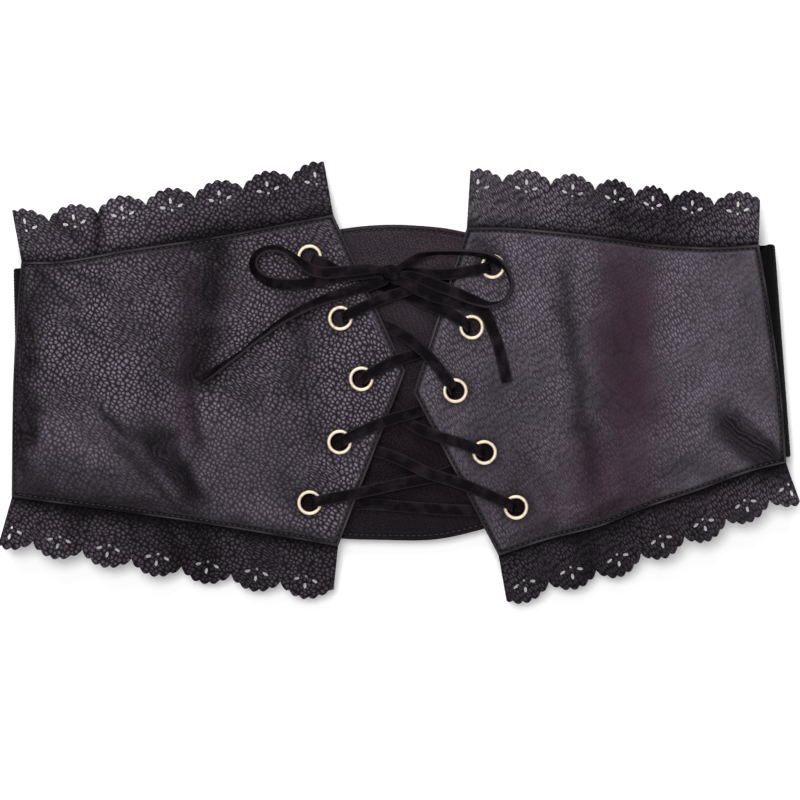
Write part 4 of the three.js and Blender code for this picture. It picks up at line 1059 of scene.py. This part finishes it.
def stitches(name, lines):
    """A row of stitches along each line of points: each a capsule of six-sided rings whose radius and
    height follow a half sine, so that its ends dive into the leather."""
    rings, around = 5, 6
    share = np.linspace(0, 1, rings)
    clouds, faces, used = [], [], 0
    unit_faces = tube_faces(rings, around)
    for line in lines:
        run = lengths_along(line)
        starts = np.arange(STITCH_PITCH * 0.4, run[-1] - STITCH_PITCH, STITCH_PITCH)
        if not len(starts):
            continue
        where = starts[:, None] + share * STITCH_LENGTH
        centre = np.stack([np.interp(where, run, line[:, k]) for k in range(3)], -1)
        along = unit(centre[:, -1] - centre[:, 0])[:, None]
        side = unit(np.cross(along, [0, 0, 1.0]))
        upward = np.cross(side, along)
        rise = np.sin(math.pi * share)[None, :, None]
        radius = STITCH_THICKNESS / 2 * (0.55 + 0.45 * rise)
        centre = centre + upward * (rise * STITCH_THICKNESS * 0.55 - STITCH_THICKNESS * 0.25)
        turn = np.linspace(0, 2 * math.pi, around, endpoint=False)
        ring = (side[:, :, None] * np.cos(turn)[None, None, :, None]
                + upward[:, :, None] * np.sin(turn)[None, None, :, None])
        cloud = centre[:, :, None] + ring * radius[..., None]
        ends = np.stack([centre[:, 0], centre[:, -1]], 1)
        block = np.concatenate([cloud.reshape(len(starts), -1, 3), ends], 1)
        base = used + np.arange(len(starts))[:, None, None] * block.shape[1]
        clouds.append(block.reshape(-1, 3))
        faces.append([(f[None] + base).reshape(-1, f.shape[1]) for f in unit_faces])
        used += block.shape[0] * block.shape[1]
    points = np.concatenate(clouds)
    joined = [np.concatenate([f[k] for f in faces]) for k in (0, 1)]
    mesh_piece(name, points, outward(points, joined), [THREAD])


def inset_line(shape, edge, inset):
    """One of the panel's four sides, moved inwards: points of the side pushed along its normal, kept where
    they are that far from the whole border."""
    border = outline(shape)
    middle = border.mean(0)
    share = np.linspace(0, 1, 220)
    tip_up = tip_height(shape)
    ways = {"bottom": (share, 0 * share), "top": (share, 0 * share + 1), "outer": (0 * share, share),
            "front_low": (0 * share + 1, share * tip_up),
            "front_high": (0 * share + 1, mix(tip_up, 1, share))}
    line = np.stack(panel_point(shape, *ways[edge]), -1)
    along = unit(np.gradient(line, axis=0))
    normal = np.stack([-along[:, 1], along[:, 0]], -1)
    normal = normal * np.where(np.sum(normal * (middle - line), 1) < 0, -1, 1)[:, None]
    moved = line + normal * inset
    distance = line_distance(moved[:, 0], moved[:, 1], border)
    return moved[distance > inset - INSET_SLACK]


def panel_stitches(side):
    """Stitches in the groove along all five sides of a panel."""
    shape = SHAPES[side]
    lines = []
    for edge in ("bottom", "top", "outer", "front_low", "front_high"):
        flat = inset_line(shape, edge, SEAM_INSET)
        x, y = flat.T
        distance = np.full(len(x), SEAM_INSET)
        z = underside(x, y) + PANEL_LEATHER + panel_relief(x, y, distance)[0]
        lines.append(np.stack([x, y, z + STITCH_THICKNESS * 0.25], -1))
    stitches(f"stitches_{side}", lines)


# Trims

# Spacing of the trims' mesh points, and small sizes of their outline, flowers and dimples
TRIM_STEP = 0.00075
RIM_DROP = 0.0001
END_STEP = 0.0006  # between border points up a trim's ends
BASE_STEP = 0.001  # and along its tucked base
END_GAP = 0.0003
EDGE_MARGIN = 0.0002
LOBE_STEPS = 8
NET_GAP = 0.42  # steps that the net's points keep from the border
NET_HOLE_GAP = 0.36  # and from a hole
PETAL_CORNERS = 16
EYE_CORNERS = 12
UPPER_PETALS = (90, 22, 158)  # degrees round the flower
LOWER_PETALS = (-54, -126)
DIMPLE_INSET = 0.0095  # in from the valley between two scallops
DIMPLE_RADIUS = 0.0009
HOLE_MARGIN = 0.0004  # from the trim's ends
NEAR_HOLE = 0.003  # farther off, no net point can touch a hole
# Painted light on each trim: how lit it is at its outer end, at a quarter, half and three quarters of its
# length, and at its front end
TRIM_PAINTED_LIGHT = {
    "trim_top_left": (0.9, 1, 0.8, 0.52, 0.55), "trim_top_right": (0.8, 0.5, 0.5, 0.9, 1),
    "trim_bottom_left": (0.6, 0.62, 0.33, 0.33, 0.38), "trim_bottom_right": (0.65, 0.5, 0.3, 0.25, 0.3),
}


def trim_measure(name):
    """A trim's own measure: the length along its seam, the way outwards there and its height."""
    panel_side, edge, heights, lean, _, _ = TRIMS[name]
    shape = SHAPES[panel_side]
    outward_y = 1 if edge == "top" else -1
    line = seam_point(shape, edge, np.linspace(0, 1, 121))
    lengths = lengths_along(line)
    whole = lengths[-1]

    def peak_height(a):
        return TRIM_HEIGHT * follow([(0, heights[0]), (0.5, heights[1]), (1, heights[2])], a / whole)

    def point(a, out, drop):
        bx, by = np.interp(a, lengths, line[:, 0]), np.interp(a, lengths, line[:, 1])
        turn = np.radians(mix(lean[0], lean[1], a / whole))
        x = bx + shape["side"] * np.sin(turn) * out
        y = by + outward_y * np.cos(turn) * out
        free = np.maximum(0, out) / TRIM_HEIGHT
        ruffle = RUFFLE_DEPTH * np.sin(2 * math.pi * a / (2.3 * SCALLOP_PITCH) + shape["side"]) * free
        base = np.where(out > 0, underside(bx, by), underside(x, y))
        return np.stack([x, y, base - TRIM_GAP - drop + ruffle - TRIM_DROOP * free], -1)

    return whole, peak_height, point


def scallops_of(name, whole):
    """Where each scallop starts along the seam, and its pitch."""
    pitches, cut = TRIMS[name][4:]
    found, start = [], -cut * pitches[0] * SCALLOP_PITCH
    while start < whole - SHORTEST_CELL:
        pitch = pitches[min(len(found), len(pitches) - 1)] * SCALLOP_PITCH
        found.append((start, pitch))
        start += pitch
    return found


def scallop_drop(q):
    """The edge's drop from the peak: a parabola with round lobes, the dips of a folded sine."""
    return SCALLOP_DEPTH * (2 * q - 1) ** 2 + LOBE_DEPTH * (1 - np.abs(np.sin(LOBES * math.pi * q)))


def petal(along, out, turn, length, width, corners=PETAL_CORNERS):
    """An ellipse of points with its long axis turned."""
    angle = np.linspace(0, 2 * math.pi, corners, endpoint=False)
    u, v = np.cos(angle) * length / 2, np.sin(angle) * width / 2
    c, s = math.cos(turn), math.sin(turn)
    return np.stack([along + u * c - v * s, out + u * s + v * c], -1)


def within(points, loop):
    """Which points lie in a closed loop, by counting the sides that a level ray crosses."""
    x, y = points[:, :1], points[:, 1:]
    a, b = loop, np.roll(loop, -1, axis=0)
    spans = (a[:, 1] > y) != (b[:, 1] > y)
    rise = np.where(b[:, 1] == a[:, 1], 1e-12, b[:, 1] - a[:, 1])
    cross = a[:, 0] + (y - a[:, 1]) / rise * (b[:, 0] - a[:, 0])
    return (np.sum(spans & (x < cross), axis=1) % 2).astype(bool)


def flowers(scallops, whole, peak_height):
    """Each scallop's flower, in the trim's own measure: the loops of its holes, three upper petals and an
    eye, and what is pressed in as (along, out, turn, half length, half width), two lower petals and a
    dimple."""
    holes, pressed = [], []
    for start, pitch in scallops:
        middle, gather = start + pitch / 2, pitch / SCALLOP_PITCH
        centre = peak_height(np.clip(middle, 0, whole)) - FLOWER_INSET

        def on_ring(turn):
            return middle + PETAL_RING * gather * math.cos(turn), centre + PETAL_RING * math.sin(turn)

        for turn in np.radians(UPPER_PETALS):
            holes.append(petal(*on_ring(turn), turn, *PETAL))
        holes.append(petal(middle, centre, 0, FLOWER_EYE, FLOWER_EYE, EYE_CORNERS))
        for turn in np.radians(LOWER_PETALS):
            pressed.append((*on_ring(turn), turn, PETAL[0] / 2, PETAL[1] / 2))
        valley = peak_height(np.clip(start, 0, whole)) - SCALLOP_DEPTH
        pressed.append((start, valley - DIMPLE_INSET, 0, DIMPLE_RADIUS, DIMPLE_RADIUS))
    return holes, pressed


def trim_outline(scallops, whole, peak_height):
    """A trim's flat border as one loop: the tucked base, one end, the scallops and the other end."""
    steps = np.linspace(0, 1, LOBES * LOBE_STEPS, endpoint=False)
    edge = []
    for start, pitch in scallops:
        a = start + pitch * steps
        edge.append(np.stack([a, peak_height(np.clip(a, 0, whole)) - scallop_drop(steps)], -1))
    edge = np.concatenate(edge)
    edge = edge[(edge[:, 0] > EDGE_MARGIN) & (edge[:, 0] < whole - EDGE_MARGIN)]

    def edge_out(a):
        starts = np.array([s for s, _ in scallops])
        k = np.clip(np.searchsorted(starts, a) - 1, 0, len(starts) - 1)
        q = np.clip((a - starts[k]) / np.array([p for _, p in scallops])[k], 0, 1)
        return peak_height(a) - scallop_drop(q)

    along = np.arange(BASE_STEP, whole, BASE_STEP)
    base = np.stack([along, 0 * along - TRIM_TUCK], -1)
    rise = np.arange(-TRIM_TUCK, float(edge_out(whole)) - END_GAP, END_STEP)
    fall = np.arange(-TRIM_TUCK, float(edge_out(0.0)) - END_GAP, END_STEP)
    return np.concatenate([
        base, np.stack([whole + 0 * rise, rise], -1), [[whole, float(edge_out(whole))]], edge[::-1],
        [[0, float(edge_out(0.0))]], np.stack([0 * fall, fall], -1)[::-1]])


def fill_outline(loop, holes, whole):
    """Triangles over a flat outline with holes, by constrained Delaunay over an even net of points. Returns
    the triangles, their points and which of these lie on a border."""
    net_a, net_out = np.meshgrid(np.arange(TRIM_STEP, whole, TRIM_STEP),
                                 np.arange(TRIM_STEP - TRIM_TUCK, TRIM_HEIGHT * 1.1, TRIM_STEP))
    net_a = net_a + TRIM_STEP * 0.5 * (np.arange(len(net_a)) % 2)[:, None]
    net = np.stack([net_a.ravel(), net_out.ravel()], -1)
    near = line_distance(net[:, 0], net[:, 1], np.concatenate([loop, loop[:1]]))
    net = net[within(net, loop) & (near > TRIM_STEP * NET_GAP)]
    for hole in holes:
        middle = hole.mean(0)
        close = np.hypot(*(net - middle).T) < NEAR_HOLE
        keep = np.ones(len(net), bool)
        far = line_distance(net[close, 0], net[close, 1], np.concatenate([hole, hole[:1]]))
        keep[close] = (far > TRIM_STEP * NET_HOLE_GAP) & ~within(net[close], hole)
        net = net[keep]

    flat = np.concatenate([loop, *holes, net])
    edges, at = [], 0
    for ring in (loop, *holes):
        index = at + np.arange(len(ring))
        edges.append(np.stack([index, np.roll(index, -1)], -1))
        at += len(ring)
    rims = at
    scale = 1000.0  # the triangulation works best on numbers near 1
    found = delaunay_2d_cdt([tuple(p) for p in flat * scale], np.concatenate(edges).tolist(), [], 0, 1e-6)
    spots = np.array([tuple(p) for p in found[0]]) / scale
    triangles = np.array(found[2])
    is_rim = np.array([min(origins, default=rims) < rims for origins in found[3]])
    centres = spots[triangles].mean(1)
    keep = within(centres, loop)
    for hole in holes:
        close = np.hypot(*(centres - hole.mean(0)).T) < NEAR_HOLE
        keep[np.flatnonzero(close)[within(centres[close], hole)]] = False
    triangles = triangles[keep]
    used = np.unique(triangles)
    renumber = np.full(len(spots), -1)
    renumber[used] = np.arange(len(used))
    return renumber[triangles], spots[used], is_rim[used]


def dents(spots, pressed):
    """How deep each point lies in a pressed oval, from 0 to 1."""
    dent = np.zeros(len(spots))
    for a, out, angle, half_length, half_width in pressed:
        da, do = spots[:, 0] - a, spots[:, 1] - out
        c, s = math.cos(angle), math.sin(angle)
        q = np.hypot((da * c + do * s) / half_length, (do * c - da * s) / half_width)
        dent = np.maximum(dent, 1 - smooth((q - 0.55) / 0.75))
    return dent


def trim(name):
    """A trim: its flat outline and holes are filled with triangles, laid on the seam and given their
    thickness, with folds, pressed petals and a cut edge all round."""
    whole, peak_height, point = trim_measure(name)
    panel_side = TRIMS[name][0]
    scallops = scallops_of(name, whole)
    holes, pressed = flowers(scallops, whole, peak_height)
    holes = [h for h in holes if h[:, 0].min() > HOLE_MARGIN and h[:, 0].max() < whole - HOLE_MARGIN]
    loop = trim_outline(scallops, whole, peak_height)
    triangles, spots, is_rim = fill_outline(loop, holes, whole)

    top = point(spots[:, 0], spots[:, 1], 0)
    x, y = top[:, 0], top[:, 1]
    fold, fold_tone = folds_at(x, y)
    dent = dents(spots, pressed)
    wrinkle = 0.0003 * drift(x, y, 0.008, 51) + 0.00014 * drift(x, y, 0.0035, 52)
    free = smooth(spots[:, 1] / 0.006)
    soft_rim = np.where(is_rim, RIM_DROP, 0)
    top[:, 2] += free * (wrinkle + fold) - 0.00035 * dent - soft_rim
    under = point(spots[:, 0], spots[:, 1], TRIM_LEATHER)
    under[:, 2] += free * (wrinkle + fold) + soft_rim
    count = len(spots)
    pairs = np.concatenate([triangles[:, [0, 1]], triangles[:, [1, 2]], triangles[:, [2, 0]]])
    keys = pairs[:, 0].astype(np.int64) * count + pairs[:, 1]
    back = pairs[:, 1].astype(np.int64) * count + pairs[:, 0]
    border = pairs[~np.isin(keys, back)]
    walls = np.stack([border[:, 1], border[:, 0], border[:, 0] + count, border[:, 1] + count], -1)
    points = np.concatenate([top, under])
    faces = outward(points, [np.concatenate([triangles, triangles[:, ::-1] + count]), walls])
    part_finish = np.concatenate([np.zeros(2 * len(triangles)), np.ones(len(walls))])
    # Painted shade in the pressed petals and dimples, and darker at the rim.
    tone = 1 - 0.75 * dent - 0.25 * is_rim
    # Painted shadow of the panel's edge on the trim, darkest at the seam and fading over about 6 mm.
    shade = smooth((spots[:, 1] - 0.0002) / 0.0018)
    tone = tone * fold_tone * (0.1 + 0.45 * shade + 0.45 * smooth((spots[:, 1] - 0.001) / 0.006))
    lit = list(zip((0, 0.25, 0.5, 0.75, 1), TRIM_PAINTED_LIGHT[name]))
    tone = tone * follow(lit, np.clip(spots[:, 0] / whole, 0, 1))
    plum = np.maximum(0, drift(x, y, 0.03, 61)) * 0.3
    grain = 0.9 - 0.5 * dent
    values = {"grain": np.concatenate([grain, grain]), "tone": np.concatenate([tone, tone]),
              "plum": np.concatenate([plum, plum]), "worn": np.zeros(2 * count)}
    obj = mesh_piece(f"scalloped_{name}", points, faces, [FINISHES[panel_side], CUT_FINISH],
                     values, part_finish, sharp=42)
    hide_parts(name)
    return obj


# Tongue

TONGUE = {
    "left_end": -0.354, "sewn_to": -0.28, "right_end": 0.337,
    "top": [(-0.354, 0.4), (-0.2, 0.452), (-0.05, 0.475), (0.1, 0.468), (0.2, 0.446), (0.337, 0.41)],
    "bottom": [(-0.354, -0.4), (-0.2, -0.462), (-0.02, -0.475), (0.1, -0.472), (0.22, -0.441), (0.337, -0.4)],
}
TONGUE_CUT = (0.121, 0.138)
TONGUE_INSET = 0.0022


def tongue():
    """The tongue: a pillow between its two curved edges, hung below the panels, with a groove near each edge,
    wide soft folds and a fine grain."""
    t = TONGUE
    left, right = t["left_end"] * SIDE_REACH, t["right_end"] * SIDE_REACH
    width, height = right - left, TONGUE_CUT[1]
    across, up = np.meshgrid(shares(width, 0.0011), shares(height, 0.0009))
    share = mix(t["left_end"], t["right_end"], across)
    x = share * SIDE_REACH
    low, high = follow(t["bottom"], share) * FRONT_HEIGHT, follow(t["top"], share) * FRONT_HEIGHT
    y = mix(low, high, up)
    distance = np.minimum(np.minimum(y - low, high - y), np.minimum(x - left, right - x))
    distance = np.maximum(distance, 0)
    seat = smooth((t["sewn_to"] - share) / (t["sewn_to"] - t["left_end"]) * 2)
    top = underside(x, y) - mix(LACE_ROOM, CLEARANCE, seat)
    middle = top - TONGUE_LEATHER / 2
    half = TONGUE_LEATHER / 2
    quarter = np.sqrt(1 - (1 - np.clip(distance / half, 0, 1)) ** 2)
    soft = smooth(distance / 0.006)
    folds = -0.0002 * np.abs(drift(x * 0.4, y, 0.012, 72)) + 0.0001 * drift(x, y, 0.006, 73)
    relief = seam_profile(distance, TONGUE_INSET, 0.00045, 0.0004) + soft * folds
    inside = np.clip(distance / half, 0, 1)
    upper = np.stack([x, y, middle + half * quarter + inside * relief], -1)
    lower = np.stack([x, y, middle - half * quarter], -1)
    points, faces = pillow(upper, lower)
    # Painted shade in the stitched grooves near the edges, and painted darker towards the bottom edge.
    tone = 1 - 0.5 * np.exp(-((distance - TONGUE_INSET) / 0.0004) ** 2)
    tone = tone * mix(0.35, 1, smooth((y + 0.03) / 0.075))
    plum = smooth(0.35 + 0.8 * drift(x, y, 0.022, 74))
    values = pillow_values(points, grain=(0 * x + 0.8, 0.8), tone=(tone, 1), plum=(plum, 0), worn=(0 * x, 0))
    obj = mesh_piece("laced_tongue", points, faces, [TONGUE_FINISH], values)
    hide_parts("tongue")
    lines = []
    for edge, turn in (("top", -1), ("bottom", 1)):
        q = np.linspace(t["left_end"] + 0.02, t["right_end"] - 0.02, 200)
        sx, sy = q * SIDE_REACH, follow(t[edge], q) * FRONT_HEIGHT + turn * TONGUE_INSET
        seat = smooth((t["sewn_to"] - q) / (t["sewn_to"] - t["left_end"]) * 2)
        lines.append(np.stack([sx, sy, underside(sx, sy) - mix(LACE_ROOM, CLEARANCE, seat) - 0.00025], -1))
    stitches("stitches_tongue", lines)
    return obj


# Elastic

ELASTIC_HEIGHT = 0.112
RIB_PITCH = 0.0016
RIB_DEPTH = 0.00018


def elastic():
    """The elastic: a band carried along its closed run, from under one panel's end, round the half circle
    of the fold, across the back and up the other side. Ribs are sines across the band, and its two borders
    round off."""
    rows = int(ELASTIC_HEIGHT / (RIB_PITCH / 4))
    up = np.concatenate([[0, 0.0008, 0.002], np.linspace(0.004, 0.996, rows), [0.998, 0.9992, 1]])
    angles = np.linspace(0, math.pi, 25)

    def half_stations(side):
        runs = [(side, run, 0.0) for run in np.linspace(SEWN_LENGTH, 0.001, 8)]
        return runs + [(side, 0.0, turn) for turn in angles]

    middle = [(0, share, math.pi) for share in np.linspace(0, 1, 29)[1:-1]]
    stations = half_stations(-1) + middle + half_stations(1)[::-1]
    left, right = SHAPES["left"], SHAPES["right"]

    def band_y(shape, turn, flat):
        grip = smooth((math.sin(turn) + (1 if turn > math.pi / 2 else 0)) / math.sqrt(0.5))
        grip = 1 if flat else grip
        low = mix(shape["sewn"][0], shape["fold_bottom"][1], grip) * FRONT_HEIGHT
        high = mix(shape["sewn"][1], shape["fold_top"][1], grip) * FRONT_HEIGHT
        return mix(low, high, up)

    def side_point(shape, run, turn, inset):
        y = band_y(shape, turn, False)
        centre = fold_x(shape, y) - shape["side"] * FOLD_RADIUS
        radius = FOLD_RADIUS - inset
        x = centre + shape["side"] * (radius * math.sin(turn) - run)
        return np.stack([x, y, FOLD_RADIUS + radius * np.cos(turn) + 0 * x], -1)

    def surface(inset):
        columns = []
        for side, run, turn in stations:
            if side:
                columns.append(side_point(left if side < 0 else right, run, turn, inset))
            else:
                a = side_point(left, 0.0, math.pi, inset)
                b = side_point(right, 0.0, math.pi, inset)
                columns.append(mix(a, b, run))
        return np.stack(columns)

    rib = np.sin(2 * math.pi * up * ELASTIC_HEIGHT / RIB_PITCH)
    border = np.minimum(up, 1 - up) * ELASTIC_HEIGHT
    selvedge = smooth(border / 0.0006)
    inset = RIB_DEPTH * (1 - rib) / 2 + (1 - selvedge) * ELASTIC_THICKNESS * 0.45
    inner = ELASTIC_THICKNESS - RIB_DEPTH * (1 - rib) / 2 - (1 - selvedge) * ELASTIC_THICKNESS * 0.45
    outer_face, inner_face = surface(inset), surface(inner)
    count = outer_face.shape[0] * outer_face.shape[1]
    a = np.arange(count).reshape(outer_face.shape[:2])
    b = a + count
    rim = np.concatenate([a[0], a[1:, -1], a[-1, -2::-1], a[-2:0:-1, 0]])
    rim = np.append(rim, rim[0])
    walls = np.stack([rim[:-1], rim[1:], rim[1:] + count, rim[:-1] + count], -1)
    points = np.concatenate([outer_face.reshape(-1, 3), inner_face.reshape(-1, 3)])
    faces = outward(points, [np.concatenate([grid_faces(a), grid_faces(b)[:, ::-1], walls])])
    # Painted light and shade of the ribs: 1 on a crest, 0 in a trough.
    shade = np.tile((1 + rib) / 2, (len(stations), 1)).ravel()
    values = {"rib": np.concatenate([shade, shade])}
    obj = mesh_piece("elastic_band", points, faces, [ELASTIC], values, sharp=70)
    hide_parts("elastic_back")
    return obj


# Eyelets

EYELET_SEGMENTS = 56
DOME_FOOT = 0.00012  # the dome starts this high above its ring's foot


def eyelet(side, number):
    """An eyelet: a ring profile turned about its axis. In front a dome from the barrel to a rolled rim,
    behind a flat ring with a rolled edge, each an arc of a few points."""
    bore, ring, back_ring = EYELET_BORE / 2, EYELET_RING / 2, EYELET_BACK_RING / 2
    wall = bore + EYELET_WALL
    dome = np.linspace(0, math.pi, 12)
    middle, half = (bore + ring) / 2, (ring - bore) / 2
    front = [(middle - half * math.cos(a),
              CLEARANCE + DOME_FOOT + (EYELET_RISE - DOME_FOOT) * math.sin(a) ** 0.8) for a in dome]
    back = -PANEL_LEATHER - CLEARANCE
    curl = np.linspace(-math.pi / 2, math.pi / 2, 6)
    edge = EYELET_RISE / 2
    rolled = [(back_ring - edge + edge * math.cos(a), back - edge + edge * math.sin(a)) for a in curl[::-1]]
    profile = front + [(ring - 0.0001, CLEARANCE), (wall, CLEARANCE), (wall, back)] + rolled
    profile += [(bore + 0.0002, back - EYELET_RISE), (bore, back - EYELET_RISE + 0.0002)]
    profile = np.array(profile)
    turn = np.linspace(0, 2 * math.pi, EYELET_SEGMENTS, endpoint=False)
    centre = eyelet_centre(side, number)
    height = float(underside(*centre)) + PANEL_LEATHER
    dented = 1 + 0.006 * np.sin(3 * turn + number * 2.1) * (1 if side == "left" else -1)
    x = centre[0] + profile[:, :1] * np.cos(turn) * dented
    y = centre[1] + profile[:, :1] * np.sin(turn) * dented
    z = height + profile[:, 1:] + 0 * turn
    points = np.stack([x, y, z], -1)
    index = np.arange(points.shape[0] * EYELET_SEGMENTS).reshape(-1, EYELET_SEGMENTS)
    index = np.concatenate([index, index[:1]])
    index = np.concatenate([index, index[:, :1]], 1)
    points = points.reshape(-1, 3)
    rim = np.clip((profile[:, 1] - CLEARANCE) / EYELET_RISE, 0, 1)
    values = {"rim": np.repeat(rim, EYELET_SEGMENTS)}
    faces = outward(points, [grid_faces(index)])
    obj = mesh_piece(f"ring_{side}_{number}", points, faces, [BRASS], values, sharp=45)
    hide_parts(f"eyelet_{side}_{number}")


ELASTIC_BAND = elastic()
LACED_TONGUE = tongue()
for panel_side in SHAPES:
    front = panel(panel_side)
    panel_stitches(panel_side)
    for number in range(1, 6):
        eyelet(panel_side, number)
for trim_name in TRIMS:
    edging = trim(trim_name)


# Table and light

SKY_STRENGTH = 0.13


def table_finish():
    f = Finish("pale table", Roughness=0.9, Specular_IOR_Level=0.1)
    f.set(Base_Color=f.colours((0.93, 0.93, 0.93), (0.96, 0.96, 0.96), f.noise(6, 2, 0.5)))
    return f.material


def add_table():
    half = 3.0
    corners = [(-half, -half, 0), (half, -half, 0), (half, half, 0), (-half, half, 0)]
    mesh = bpy.data.meshes.new("table")
    mesh.from_pydata(corners, [], [(0, 1, 2, 3)])
    mesh.materials.append(table_finish())
    obj = bpy.data.objects.new("table", mesh)
    bpy.context.scene.collection.objects.link(obj)


def add_light(name, where, size, watts, target=(0, 0, 0)):
    """A square soft light that faces a target."""
    data = bpy.data.lights.new(name, "AREA")
    data.size, data.energy = size, watts
    obj = bpy.data.objects.new(name, data)
    obj.location = where
    way = np.array(target) - np.array(where)
    obj.rotation_euler = (math.acos(-way[2] / np.linalg.norm(way)), 0, math.atan2(-way[0], way[1]))
    bpy.context.scene.collection.objects.link(obj)


def add_sky():
    """An even pale surround."""
    world = bpy.data.worlds.new("surround")
    world.use_nodes = True
    back = world.node_tree.nodes["Background"]
    back.inputs["Color"].default_value = (1, 1, 1, 1)
    back.inputs["Strength"].default_value = SKY_STRENGTH
    bpy.context.scene.world = world


add_table()
add_sky()
add_light("overhead softbox", (-0.25, 0.35, 2.1), 0.8, 30)
add_light("top softbox", (-0.3, 1.6, 1.5), 1.0, 34)
add_light("bottom softbox", (0.3, -1.5, 1.3), 1.0, 20)
bpy.context.scene.view_settings.view_transform = "Standard"
